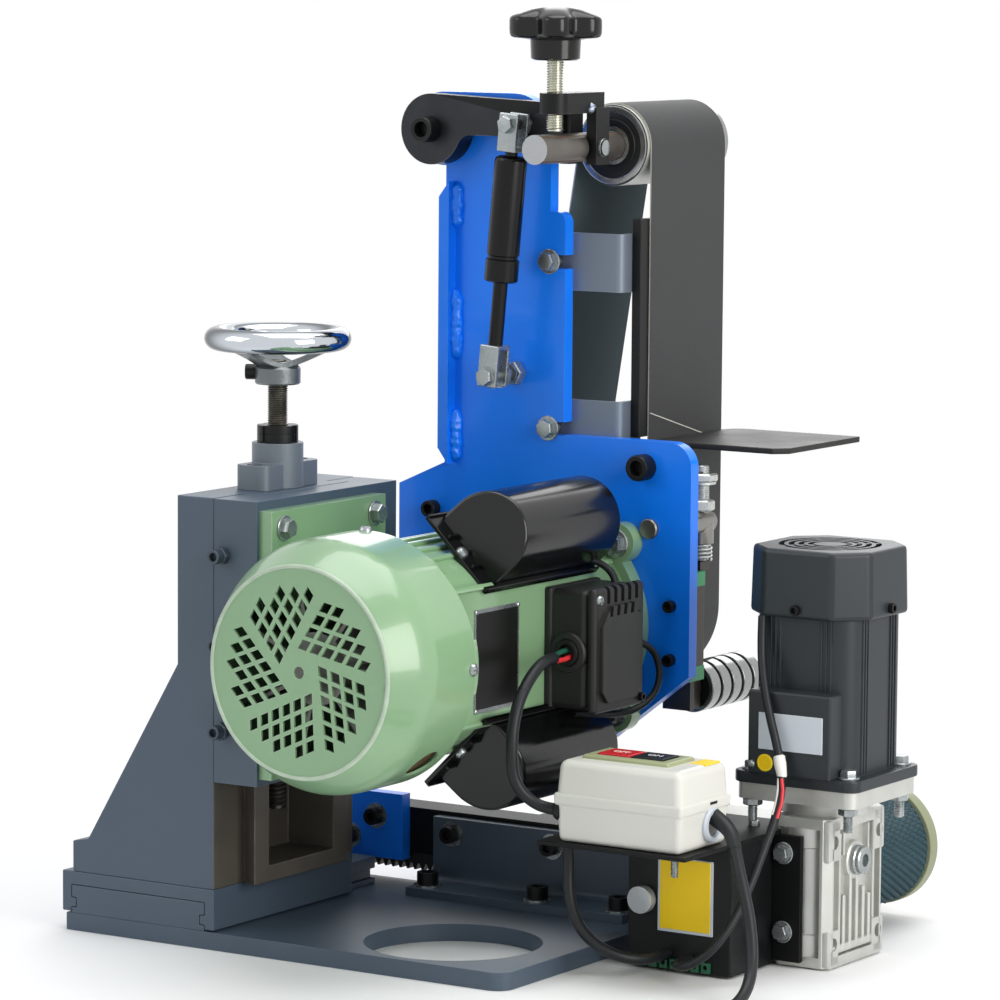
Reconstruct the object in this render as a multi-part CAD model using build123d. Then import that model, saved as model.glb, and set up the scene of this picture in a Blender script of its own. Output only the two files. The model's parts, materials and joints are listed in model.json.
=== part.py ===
from build123d import *
import math
import os

# Belt polishing machine for round tube. X runs along the front edge of the base plate towards the
# feed unit, Y along the motor shaft away from the operator, Z up. The origin is the middle of the
# base plate's underside. All sizes are millimetres.

# Clearances
slide_gap = 0.3
running_gap = 0.05
screw_gap = 0.2
seat_gap = 0.1

# Fastener heads as shares of the thread, and the bend of a cord as a share of its run
cap_head = 0.75
cap_socket = 0.46
hex_corner = 0.92
hex_height = 0.64
nut_height_share = 0.8
washer_height = 0.2
bend_share = 0.45

# Base plate with its swarf hole
base_length = 356.0
base_depth = 230.0
base_thick = 12.0
base_corner = 12.0
swarf_hole_x = 95.0
swarf_hole_y = -48.0
swarf_hole_r = 60.0

# Cross way under the column, and the column's foot that rides on it
foot_width = 128.0
foot_overhang = 3.5
foot_thick = 9.3
keeper_width = 7.7
keeper_lift = 1.0
way_height = 19.5
way_back_gap = 8.0
groove_low = 4.0
groove_height = 7.0
groove_depth = 4.0

# Column casting with a male dovetail on its +X face
column_depth = 165.0
column_top = 306.0
column_web = 30.2
heel_inset = 9.0
heel_height = 21.2
heel_ledge = 13.0
heel_rise = 2.6
slope_top = 192.0
rail_proud = 14.3
rail_width = 111.0
flank_angle = 30.0
pocket_width = 76.0
pocket_low = 52.5
pocket_roof = 16.0
pocket_depth = 24.0

# Lead screw, its bearing block and the handwheel
screw_r = 7.0
screw_inset = 6.5
screw_low = 84.0
screw_high = 392.0
collar_r = 12.0
collar_height = 6.0
bearing_r = 17.5
bearing_height = 30.5
bearing_length = 66.0
bearing_width = 26.0
bearing_ear = 17.0
lock_nut_r = 14.0
lock_nut_height = 5.8
lock_nut_slot = 5.0
lock_nut_slot_depth = 1.5
wheel_hub_r = 15.5
wheel_hub_low = 376.0
wheel_hub_height = 11.0
wheel_r = 50.0
wheel_rim_r = 6.2
wheel_rim_z = 407.0
wheel_dish = 4.0

# Carriage on the dovetail
carriage_thick = 35.0
carriage_low = 114.6
carriage_top_gap = 0.4
nut_width = 42.0
nut_low = 190.0
nut_height = 36.0
nut_wall = 9.0
gib_inset = 7.2
gib_heights = (150.0, 208.0, 268.0)
gib_size = 6.0
gib_grip = 22.0
gib_tail = 4.0

# Main motor, frame size 90 with foot and flange
motor_x = 72.0
motor_z = 209.5
frame_r = 71.0
frame_wall = 8.0
frame_front = -115.0
flange_front = 98.0
flange_thick = 12.0
flange_r = 78.0
bolt_circle_r = 82.5
ear_r = 14.0
spigot_r = 65.0
spigot_depth = 3.5
stator_bore_r = 45.0
stator_front = -60.0
stator_back = 45.0
shield_r = 80.0
shield_thick = 8.0
foot_plate_thick = 10.0
foot_plate_height = 180.0
foot_plate_front = -112.0
foot_plate_back = 22.0
foot_web_spread = 45.0
foot_web_thick = 8.0
foot_web_front = -102.0
foot_bolt_rise = 78.0
foot_bolt_front = -98.0
foot_bolt_back = 9.0
foot_bolt_thread = 12.0
shaft_r = 12.0
rotor_r = 44.0
cover_r = 84.0
cover_wall = 2.0
cover_disc_r = 68.0
cover_front = -195.0
cover_shoulder = 24.0
vent_sectors = 5
vent_first_r = 18.6
vent_first_angle = 149.0
vent_rows = 6
vent_row_step = 9.4
vent_row_turn = 88.6
vent_places = 4
vent_place_step = 10.0
vent_place_turn = 20.0
vent_limit_r = 53.0
vent_fill = 0.72
cover_eye_r = 4.0
cover_port_r = 10.0
cover_port_y = -137.0
cover_port_sweep = 48.0
fan_front = -176.0
fan_back = -132.0
fan_hub_r = 24.0
fan_r = 70.0
fan_blades = 7
fan_blade_thick = 3.0
bolt_m10 = 10.0

# Terminal box and capacitor covers on the motor
box_inner = 125.0
box_outer = 164.0
box_front = 13.0
box_back = 75.0
box_low = 164.0
box_high = 247.0
box_wall = 3.0
lid_thick = 3.5
lid_rib = 2.5
lid_ribs = 6
gland_x = 154.0
gland_z = 201.0
gland_r = 9.0
gland_length = 9.0
capacitor_r = 29.5
capacitor_out_x = 44.0
capacitor_out_z = 80.5
capacitor_front = -65.0
capacitor_back = 85.0

# Head plate
plate_front = 110.0
plate_thick = 10.0
plate_left = -56.0
plate_neck = -18.0
plate_low = 126.0
plate_knee = 296.0
plate_waist = 313.0
plate_top_right = 68.0
plate_step_right = 80.2
plate_step_drop = 45.0
plate_step_radius = 8.0
plate_shelf = 338.0
plate_right = 182.0
plate_skirt = 178.0
plate_toe = 115.0
plate_top_radius = 30.0
plate_shelf_radius = 17.0
rib_width = 8.3
rib_drop = 26.5
rib_proud = 9.2
rib_cut = 11.0

# Belt tension arm, tracking screw, idler and gas spring
pivot_x = -20.0
pivot_rise = 9.5
pivot_r = 6.0
pivot_head_r = 9.0
pivot_head = 9.0
pivot_socket_r = 4.6
pivot_lug_r = 25.5
arm_boss_r = 24.5
arm_front = 93.0
arm_back = 106.0
arm_low_rise = 6.0
arm_high_rise = 29.5
arm_fillet = 12.0
bar_width = 21.0
bar_low_rise = 23.5
bar_high_rise = 37.5
bar_tip = 66.5
cheek_thick = 8.0
cheek_half_gap = 6.5
cheek_front = 96.5
cheek_back = 113.0
cheek_drop = 11.5
cheek_rise = 27.5
axle_pin_y = 105.0
axle_pin_r = 4.0
axle_pin_head_r = 6.0
axle_pin_head = 2.5
axle_flat_margin = 2.0
axle_r = 10.0
axle_front = 41.0
idler_x = 98.0
idler_z = 536.5
idler_r = 28.0
roller_front = 142.0
roller_back = 248.0
roller_recess_r = 22.0
roller_recess = 4.0
tracking_r = 6.0
tracking_gap = 1.2
knob_rise = 59.5
knob_hub_r = 15.0
knob_hub_height = 15.0
knob_r = 31.5
knob_height = 19.0
knob_lobes = 6
knob_lobe_r = 8.8
knob_core_r = 24.6
spring_y = 80.0
spring_low_x = 41.0
spring_low_z = 379.0
spring_high_x = 56.7
spring_high_rise = 15.2
spring_r = 11.0
spring_rod_r = 5.0
spring_tube_low = 65.0
spring_neck = 21.4
spring_eye_r = 8.0
spring_eye_width = 14.0
spring_pin_r = 4.0
spring_pin_gap = 1.0
spring_fork = 22.0
spring_pin_front = 68.0

# Abrasive belt, drive wheel and platen
belt_width = 100.0
belt_thick = 1.0
belt_front = 145.0
belt_gap = 0.3
wheel_drive_r = 53.7
wheel_drive_web = 14.0
wheel_drive_rim = 9.0
wheel_drive_hub_r = 24.0
platen_low = 337.0
platen_gap = 49.5
platen_thick = 7.0
platen_front = 134.0
platen_back = 247.0
bracket_thick = 3.3
bracket_left = 57.0
bracket_height = 40.0
bracket_low = 342.0
bracket_drop = 79.5
bracket_bend = 5.0
bracket_lap = 14.0
bracket_bolt_x = 67.5
bracket_slot = 9.5
bolt_m8 = 8.0

# Work table
table_left = 129.5
table_right = 233.0
table_front = 146.5
table_back = 255.0
table_top = 334.5
table_thick = 4.0
table_chamfer = 9.0
table_round = 16.0
table_foot_left = 135.5
table_foot_width = 17.0
table_foot_low = 306.0
table_foot_back = 165.0
table_screw_x = 145.5
table_screw_z = 320.0
table_screw_size = 12.0

# Sprung support roller beside the belt
guide_x = 156.0
guide_width = 30.0
guide_back = 149.0
guide_low = 172.0
guide_high = 246.0
guide_screw_x = 11.5
guide_screw_heights = (189.0, 226.0)
guide_screw_size = 5.0
tongue_width = 16.0
tongue_foot = 22.0
tongue_front = 138.0
tongue_step = 143.0
tongue_back = 157.0
tongue_low = 150.0
tongue_high = 247.0
stud_x = 162.0
lug_right = 170.0
lug_front = 144.5
lug_height = 6.0
stud_y = 150.5
stud_r = 5.0
stud_top = 319.0
stud_nut_width = 16.0
stud_nut_height = 7.0
stud_nut_high = 308.0
anchor_r = 8.0
anchor_z = 280.0
anchor_back = 161.0
anchor_seat_r = 8.5
anchor_seat_low = 265.5
spring_wire_r = 0.9
spring_coil_r = 6.9
spring_turns = 4
support_z = 163.0
support_bearing_r = 17.5
support_bearing_width = 11.0
support_spacer = 3.5
support_spacer_r = 13.0
support_bearings_count = 5
support_axle_r = 7.5
support_front = 158.5

# Angle bracket, slide bed, rack and pinion under the feed unit
angle_left = -19.0
angle_right = 158.0
angle_inset = 7.0
angle_depth = 43.0
angle_foot = 6.0
angle_wall = 8.0
angle_high = 63.0
angle_fillet = 5.0
angle_foot_screws = (-9.0, 82.0, 148.0)
angle_foot_screw_inset = 30.0
angle_wall_screws = (-3.0, 80.0)
angle_wall_screw_z = 52.0
bed_left = -104.0
bed_right = 170.0
bed_depth = 27.0
bed_low = 33.3
bed_high = 66.0
end_plate_left = -99.0
end_plate_right = -44.0
end_plate_low = 29.0
end_plate_high = 76.0
end_plate_thick = 10.0
end_screw_high_x = -66.0
end_screw_high_z = 59.0
end_screw_low_x = -88.0
end_screw_low_z = 43.0
module = 2.0
pressure_angle = 20.0
dedendum = 1.25
rack_inset = 6.0
rack_width = 16.0
rack_tip_z = 20.0
rack_back_z = 33.0
rack_neck = 8.0
rack_neck_height = 7.0
rack_head = 18.0
rack_head_height = 6.0
rack_right = 196.0
pinion_x = 60.0
pinion_teeth = 8
pinion_gap = 1.0
pinion_backlash = 0.5
pinion_root_half = 1.24
pinion_tip_half = 0.6
pinion_shaft_r = 4.0
pinion_knob_r = 11.0
pinion_knob_gap = 6.0
pinion_knob_width = 12.0
cheek_plate_width = 26.0
cheek_plate_low = 5.0
cheek_plate_thick = 5.0

# Feed unit: bracket, worm gearbox, gear motor, rubber wheel
feed_flange_thick = 4.0
feed_plate_front = 56.0
feed_plate_thick = 4.0
feed_plate_right = 301.0
feed_low = 4.0
feed_flange_back = 138.0
shelf_low = 89.0
shelf_thick = 3.0
shelf_left = 171.0
shelf_right = 284.0
shelf_front = -66.0
shelf_rear_right = 272.0
gearbox_front = 60.0
gearbox_back = 138.0
gearbox_right = 320.0
gearbox_low = 1.0
gearbox_high = 101.0
gearbox_step_x = 277.0
gearbox_step_high = 89.0
gearbox_chamfer = 5.0
gearbox_inset = 4.0
output_x = 256.0
output_z = 51.0
output_boss_r = 29.0
output_boss_width = 4.0
output_r = 9.0
worm_x = 296.0
worm_y = 99.0
worm_r = 8.5
worm_bore_r = 11.0
worm_low = 12.0
worm_bore_low = 10.0
worm_top = 190.0
worm_wheel_r = 31.0
worm_wheel_width = 20.0
worm_wheel_gap = 1.0
neck_high = 111.0
neck_r = 30.0
silver_high = 122.0
black_high = 130.0
gear_flange = 90.0
gear_flange_round = 8.0
gear_body_r = 45.0
gear_body_high = 234.0
gear_cover_high = 280.0
gear_cover_chamfer = 19.0
gear_box_width = 62.0
gear_box_proud = 8.0
gear_box_high = 186.0
feed_wheel_r = 42.0
feed_core_r = 36.0
feed_wheel_front = 146.0
feed_wheel_back = 246.0
feed_rim = 11.0
feed_rim_r = 42.6

# Speed controller and switch box
control_left = 201.0
control_right = 280.0
control_front = 1.0
control_low = 1.5
control_edge = 2.0
dial_x = 214.0
dial_z = 47.0
dial_r = 9.2
dial_length = 7.0
dial_stem_r = 3.0
dial_stem = 8.0
switch_left = 184.0
switch_right = 279.0
switch_front = -64.0
switch_back = -1.0
switch_high = 143.0
switch_seam = 120.0
switch_wall = 2.5
switch_round = 4.0
button_width = 22.0
button_depth = 22.0
button_gap = 0.4
button_proud = 4.0
button_sink = 10.0
button_round = 2.0
off_x = 214.0
on_x = 242.0
button_y = -32.0
inlet_y = -58.0
inlet_z = 112.0
inlet_r = 3.0
outlet_y = -24.0
outlet_z = 110.0
outlet_r = 8.0
outlet_length = 6.0

# Cords: diameters, and the points of each route chosen by hand
motor_cord_d = 8.0
motor_cord_route = (
    (154.0, 4.0, 201.0), (154.0, -13.0, 201.0), (153.9, -30.0, 200.2), (153.5, -46.5, 194.2),
    (152.8, -59.2, 181.5), (152.1, -66.0, 165.0), (151.7, -67.0, 149.0), (151.7, -66.0, 134.0),
    (155.6, -64.3, 123.8), (163.2, -61.0, 116.3), (173.0, -58.0, 112.0), (184.0, -58.0, 112.0),
)
control_cord_d = 6.0
control_cord_route = (
    (180.0, -40.0, 89.0), (180.0, -40.0, 72.0), (182.0, -43.0, 54.0), (189.0, -46.0, 38.0),
    (201.0, -47.0, 25.5), (216.0, -43.0, 17.0), (227.5, -32.0, 13.0), (232.0, -15.5, 12.0),
    (232.0, 1.0, 12.0),
)
gear_cord_d = 5.0
gear_cord_route = (
    (269.5, 56.0, 234.0), (270.0, 52.0, 214.0), (274.0, 45.0, 193.5), (279.5, 40.0, 172.0),
    (286.0, 38.0, 150.0), (293.0, 35.0, 128.0), (296.0, 27.0, 106.0), (296.0, 15.0, 86.0),
    (294.0, 4.0, 67.0), (291.0, -7.0, 49.5), (286.5, -18.0, 34.0), (279.0, -27.5, 21.5),
    (267.5, -32.0, 13.5), (256.0, -28.0, 11.0), (250.0, -17.0, 11.0), (249.0, -7.0, 11.2),
    (249.0, 1.0, 11.2),
)
lead_d = 4.0
lead_low_route = (
    (152.0, 75.0, 190.0), (152.0, 83.0, 189.0), (153.5, 90.5, 183.5), (154.0, 94.5, 174.0),
    (152.5, 95.0, 163.5), (149.0, 94.0, 153.5), (144.0, 91.0, 145.0), (141.0, 85.0, 140.0),
)
lead_high_route = (
    (142.0, 85.0, 283.0), (143.0, 92.0, 282.0), (146.5, 96.5, 277.5), (151.0, 96.5, 271.0),
    (154.5, 92.5, 264.5), (155.5, 85.5, 259.0), (154.5, 78.0, 254.5), (152.0, 71.0, 247.0),
)
mains_d = 8.0
mains_route = (
    (285.0, -24.0, 110.0), (295.0, -28.0, 106.5), (302.0, -34.0, 97.0), (308.0, -39.0, 84.5),
    (314.0, -42.5, 71.0), (319.5, -45.5, 57.0), (324.0, -49.0, 42.5), (328.0, -54.5, 28.5),
    (331.5, -64.0, 16.5), (334.0, -77.5, 8.8), (335.0, -94.0, 5.0), (334.5, -112.0, 4.2),
    (332.5, -131.0, 4.12), (331.0, -150.5, 4.1), (331.0, -170.0, 4.1),
)
coil_least_r = 31.0
coil_turns = 3
coil_pitch = 8.6
coil_tail = 48.0
plug_length = 44.0
plug_width = 34.0
plug_height = 25.0
plug_chamfer = 6.0
plug_pin_r = 2.4
plug_pin_length = 19.0
plug_pin_spread = 19.0

# Derived places
column_front = -base_depth / 2
column_mid = column_front + column_depth / 2
column_back = column_front + column_depth
angle_back = base_depth / 2 - angle_inset
angle_front = angle_back - angle_depth
end_front = angle_back - end_plate_thick
way_back = end_front - way_back_gap
rack_front = angle_back + rack_inset
pinion_front = base_depth / 2 + pinion_gap
cheek_plate_back = angle_back + bed_depth + cheek_plate_thick
pinion_knob_front = cheek_plate_back + pinion_knob_gap
pinion_knob_back = pinion_knob_front + pinion_knob_width
foot_left = -base_length / 2 - foot_overhang
foot_right = foot_left + foot_width
way_left = foot_left + keeper_width + slide_gap
way_right = foot_right - keeper_width - slide_gap
way_top = base_thick + way_height
foot_low = way_top + slide_gap
foot_top = foot_low + foot_thick
rail_face = foot_right + rail_proud
screw_x = foot_right - screw_inset
carriage_left = foot_right + slide_gap
carriage_right = foot_right + slide_gap + carriage_thick
carriage_high = column_top - carriage_top_gap
gib_x = carriage_left + gib_inset
pivot_z = idler_z + pivot_rise
plate_top = pivot_z + pivot_lug_r
plate_step = idler_z - plate_step_drop
rib_high = idler_z - rib_drop
arm_low = idler_z + arm_low_rise
arm_high = idler_z + arm_high_rise
bar_low = idler_z + bar_low_rise
bar_high = idler_z + bar_high_rise
cheek_low = idler_z - cheek_drop
cheek_high = idler_z + cheek_rise
knob_low = idler_z + knob_rise
spring_high_z = idler_z + spring_high_rise
platen_high = idler_z - platen_gap
bracket_heights = (bracket_low, idler_z - bracket_drop)
plate_back = plate_front + plate_thick
idler_outer = idler_r + belt_gap + belt_thick
belt_x = idler_x + idler_outer
pitch = math.pi * module
rack_pitch_z = rack_tip_z + module
rack_root_z = rack_pitch_z + dedendum * module
pinion_pitch_r = module * pinion_teeth / 2
pinion_z = rack_pitch_z - pinion_pitch_r
feed_left = rack_right + feed_flange_thick
shelf_top = shelf_low + shelf_thick


def block(x0, x1, y0, y1, z0, z1):
    return Pos((x0 + x1) / 2, (y0 + y1) / 2, (z0 + z1) / 2) * Box(x1 - x0, y1 - y0, z1 - z0)


def disc(u, v, r):
    return Pos(u, v) * Circle(r)


def pane(u0, u1, v0, v1):
    return Pos((u0 + u1) / 2, (v0 + v1) / 2) * Rectangle(u1 - u0, v1 - v0)


def outline(*points):
    return make_face(Polyline(*points, close=True))


def rounded(sketch, u, v, radius):
    return fillet(sketch.vertices().sort_by_distance((u, v, 0))[0], radius)


def along_x(sketch, x0, x1):
    """A sketch drawn in (Y, Z), pulled from x0 to x1."""
    return extrude(Plane((x0, 0, 0), x_dir=(0, 1, 0), z_dir=(1, 0, 0)) * sketch, x1 - x0)


def along_y(sketch, y0, y1):
    """A sketch drawn in (X, Z), pulled from y0 to y1."""
    return extrude(Plane((0, y1, 0), x_dir=(1, 0, 0), z_dir=(0, -1, 0)) * sketch, y1 - y0)


def along_z(sketch, z0, z1):
    """A sketch drawn in (X, Y), pulled from z0 to z1."""
    return extrude(Pos(0, 0, z0) * sketch, z1 - z0)


def rod_x(y, z, r, x0, x1):
    return along_x(disc(y, z, r), x0, x1)


def rod_y(x, z, r, y0, y1):
    return along_y(disc(x, z, r), y0, y1)


def rod_z(x, y, r, z0, z1):
    return along_z(disc(x, y, r), z0, z1)


def turned(place, *points):
    """A lathe profile of (radius, height) points, turned about the place's own axis."""
    return place * revolve(Plane.XZ * outline(*points), Axis.Z)


def seat(x, y, z, direction):
    return Plane((x, y, z), z_dir=direction)


def socket_screw(place, size, grip):
    """Cap screw whose head stands out of the place."""
    body = Pos(0, 0, size / 2) * Cylinder(cap_head * size, size)
    body -= extrude(Pos(0, 0, size / 2) * RegularPolygon(cap_socket * size, 6), size)
    body += Pos(0, 0, -grip / 2) * Cylinder(size / 2, grip)
    return place * body


def hex_screw(place, size, grip):
    """Hexagon bolt on a washer, standing out of the place."""
    washer = washer_height * size
    body = Pos(0, 0, washer / 2) * Cylinder(size, washer)
    body += extrude(Pos(0, 0, washer) * RegularPolygon(hex_corner * size, 6), hex_height * size)
    body += Pos(0, 0, -grip / 2) * Cylinder(size / 2, grip)
    return place * body


def drill(place, size, depth):
    return place * Pos(0, 0, -depth / 2) * Cylinder(size / 2 + screw_gap, depth)


def tube(route, diameter, name):
    """A cord's tube along straight runs and the largest arcs that they allow."""
    points = [Vector(*p) for p in route]
    radii = []
    for before, corner, after in zip(points, points[1:], points[2:]):
        run_in = corner - before
        run_out = after - corner
        half_turn = math.radians(run_in.get_angle(run_out)) / 2
        radii.append(bend_share * min(run_in.length, run_out.length) / math.tan(half_turn))
    path = FilletPolyline(*points, radius=radii)
    start = Plane(path @ 0, z_dir=path % 0)
    solid = sweep(start * Circle(diameter / 2), path)
    full = math.pi * diameter ** 2 / 4 * path.length
    print(name, "length", round(path.length, 1), "least radius", round(min(radii), 1),
          "volume share", round(solid.volume / full, 4))
    return solid


def belt_loop(extra):
    """The flat outline round the drive wheel and the idler, a distance outside their faces."""
    low_r = wheel_drive_r + extra
    high_r = idler_r + extra
    dx = idler_x - motor_x
    dz = idler_z - motor_z
    reach = math.hypot(dx, dz)
    lean = math.atan2(dz, dx)
    swing = math.acos((low_r - high_r) / reach)
    corners = []
    for side in (1, -1):
        angle = lean + side * swing
        low = (motor_x + low_r * math.cos(angle), motor_z + low_r * math.sin(angle))
        high = (idler_x + high_r * math.cos(angle), idler_z + high_r * math.sin(angle))
        corners += [low, high] if side == 1 else [high, low]
    return outline(*corners) + disc(motor_x, motor_z, low_r) + disc(idler_x, idler_z, high_r)


def rail_profile(gap):
    """The dovetail in plan, grown by a gap on its face and flanks."""
    flank = math.radians(flank_angle)
    half = rail_width / 2 + gap / math.cos(flank) + gap * math.tan(flank)
    undercut = (rail_proud + slide_gap + gap) * math.tan(flank)
    root = foot_right - slide_gap
    face = rail_face + gap
    return outline(
        (root, column_mid - half + undercut), (face, column_mid - half),
        (face, column_mid + half), (root, column_mid + half - undercut))


def base_pieces():
    plan = rounded(Rectangle(base_length, base_depth), base_length / 2, -base_depth / 2, base_corner)
    plan -= disc(swarf_hole_x, swarf_hole_y, swarf_hole_r)
    plate = along_z(plan, 0, base_thick)

    way_face = pane(way_left, way_right, base_thick, way_top)
    groove_z = base_thick + groove_low
    for side in (way_left, way_right):
        way_face -= pane(side - groove_depth, side + groove_depth, groove_z, groove_z + groove_height)
    way = along_y(way_face, column_front, way_back)

    wall_front = angle_back - angle_wall
    foot_top_z = base_thick + angle_foot
    corner = pane(angle_front, angle_back, base_thick, foot_top_z)
    corner += pane(wall_front, angle_back, base_thick, angle_high)
    corner = rounded(corner, wall_front, foot_top_z, angle_fillet)
    angle = along_x(corner, angle_left, angle_right)

    bed_back = angle_back + bed_depth
    rack_mid = rack_front + rack_width / 2
    slot = pane(rack_mid - rack_neck / 2 - slide_gap, rack_mid + rack_neck / 2 + slide_gap,
                bed_low, rack_back_z + rack_neck_height + slide_gap)
    head_z = rack_back_z + rack_neck_height
    slot += pane(rack_mid - rack_head / 2 - slide_gap, rack_mid + rack_head / 2 + slide_gap,
                 head_z - slide_gap, head_z + rack_head_height + slide_gap)
    bed = along_x(pane(angle_back, bed_back, bed_low, bed_high) - slot, bed_left, bed_right)
    half = cheek_plate_width / 2
    bed += block(pinion_x - half, pinion_x + half, bed_back, cheek_plate_back, cheek_plate_low, bed_high)
    bed -= rod_y(pinion_x, pinion_z, pinion_shaft_r + running_gap, bed_back, cheek_plate_back)

    end_plate = block(end_plate_left, end_plate_right, end_front, angle_back,
                      end_plate_low, end_plate_high)

    screws = []
    for x in angle_foot_screws:
        place = seat(x, angle_back - angle_foot_screw_inset, foot_top_z, (0, 0, 1))
        screws.append(socket_screw(place, bolt_m10, angle_foot + base_thick / 2))
        plate -= drill(place, bolt_m10, angle_foot + base_thick)
        angle -= drill(place, bolt_m10, angle_foot + base_thick)
    for x in angle_wall_screws:
        place = seat(x, wall_front, angle_wall_screw_z, (0, -1, 0))
        grip = angle_wall + bolt_m8 / 2
        screws.append(socket_screw(place, bolt_m8, grip))
        angle -= drill(place, bolt_m8, grip + screw_gap)
        bed -= drill(place, bolt_m8, grip + screw_gap)
    for x, z in ((end_screw_high_x, end_screw_high_z), (end_screw_low_x, end_screw_low_z)):
        place = seat(x, end_front, z, (0, -1, 0))
        grip = end_plate_thick + bolt_m8 / 2
        screws.append(socket_screw(place, bolt_m8, grip))
        end_plate -= drill(place, bolt_m8, grip + screw_gap)
        bed -= drill(place, bolt_m8, grip + screw_gap)
    return {"base_plate": plate, "cross_way": way, "angle_bracket": angle, "slide_bed": bed,
            "bed_end_plate": end_plate, "base_screws": screws}


def column_pieces():
    foot_face = pane(foot_left, foot_right, foot_low, foot_top)
    keeper_low = base_thick + keeper_lift
    lip_low = base_thick + groove_low + slide_gap
    lip_high = lip_low + groove_height - 2 * slide_gap
    lip_reach = keeper_width + groove_depth
    foot_face += pane(foot_left, foot_left + keeper_width, keeper_low, foot_low)
    foot_face += pane(foot_right - keeper_width, foot_right, keeper_low, foot_low)
    foot_face += pane(foot_left, foot_left + lip_reach, lip_low, lip_high)
    foot_face += pane(foot_right - lip_reach, foot_right, lip_low, lip_high)
    foot = along_y(foot_face, column_front, column_back)

    heel = foot_left + heel_inset
    back = foot_right - column_web
    heel_top = foot_top + heel_height
    shape = outline(
        (heel, foot_top), (heel, heel_top), (heel + heel_ledge, heel_top + heel_rise),
        (back, slope_top), (back, column_top), (foot_right, column_top), (foot_right, foot_top))
    column = along_y(shape, column_front, column_back)
    column += along_z(rail_profile(0), foot_top, column_top)
    pocket_top = column_top - pocket_roof
    half = pocket_width / 2
    column -= block(foot_right - pocket_depth, rail_face, column_mid - half, column_mid + half,
                    pocket_low, pocket_top)
    column -= rod_z(screw_x, column_mid, screw_r + screw_gap, pocket_top, column_top)

    plan = pane(screw_x - bearing_width / 2, screw_x + bearing_width / 2,
                column_mid - bearing_length / 2, column_mid + bearing_length / 2)
    plan = fillet(plan.vertices(), bearing_width / 4)
    bearing = along_z(plan, column_top, column_top + bearing_ear)
    bearing += rod_z(screw_x, column_mid, bearing_r, column_top, column_top + bearing_height)
    bearing -= rod_z(screw_x, column_mid, screw_r + running_gap, column_top, column_top + bearing_height)
    return {"column_foot": foot, "column": column, "bearing_block": bearing}


def lead_screw_pieces():
    screw = rod_z(screw_x, column_mid, screw_r, screw_low, screw_high)
    collar_top = column_top - pocket_roof - seat_gap
    screw += rod_z(screw_x, column_mid, collar_r, collar_top - collar_height, collar_top)

    nuts = []
    bottom = column_top + bearing_height + seat_gap
    for _ in range(2):
        ring = disc(screw_x, column_mid, lock_nut_r) - disc(screw_x, column_mid, screw_r + running_gap)
        for quarter in range(4):
            notch = Pos(lock_nut_r, 0) * Rectangle(2 * lock_nut_slot_depth, lock_nut_slot)
            ring -= Pos(screw_x, column_mid) * Rot(0, 0, 90 * quarter) * notch
        nuts.append(along_z(ring, bottom, bottom + lock_nut_height))
        bottom += lock_nut_height + seat_gap

    place = Plane((screw_x, column_mid, 0))
    bore = screw_r + running_gap
    hub_top = wheel_hub_low + wheel_hub_height
    rim_mid = wheel_r - wheel_rim_r
    section = outline((bore, wheel_hub_low), (wheel_hub_r, wheel_hub_low), (wheel_hub_r, hub_top),
                      (rim_mid, wheel_rim_z - wheel_dish), (rim_mid, wheel_rim_z),
                      (wheel_hub_r, hub_top + wheel_dish), (bore, hub_top + wheel_dish))
    section += disc(rim_mid, wheel_rim_z, wheel_rim_r)
    wheel = place * revolve(Plane.XZ * section, Axis.Z)
    return {"lead_screw": screw, "lock_nuts": nuts, "handwheel": wheel}


def carriage_pieces():
    body = block(carriage_left, carriage_right, column_front, column_back, carriage_low, carriage_high)
    body -= along_z(rail_profile(slide_gap), carriage_low, carriage_high)
    nut_left = screw_x - screw_r - nut_wall
    half = nut_width / 2
    body += block(nut_left, rail_face + slide_gap, column_mid - half, column_mid + half,
                  nut_low, nut_low + nut_height)
    body -= rod_z(screw_x, column_mid, screw_r + running_gap, nut_low, nut_low + nut_height)

    screws = []
    for z in gib_heights:
        place = seat(gib_x, column_front, z, (0, -1, 0))
        nut_height_z = nut_height_share * gib_size
        nut = extrude(RegularPolygon(hex_corner * gib_size, 6), nut_height_z)
        tail = Pos(0, 0, (gib_tail + nut_height_z - gib_grip) / 2)
        stem = tail * Cylinder(gib_size / 2, gib_tail + nut_height_z + gib_grip)
        screws.append(place * (nut + stem))
        body -= drill(place, gib_size, gib_grip + screw_gap)
    bolts = []
    for y in (foot_bolt_front, foot_bolt_back):
        for side in (-1, 1):
            place = seat(carriage_right + foot_plate_thick, y, motor_z + side * foot_bolt_rise, (1, 0, 0))
            grip = foot_plate_thick + foot_bolt_thread
            bolts.append(hex_screw(place, bolt_m10, grip))
            body -= drill(place, bolt_m10, grip + screw_gap)
    return body, screws, bolts


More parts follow.
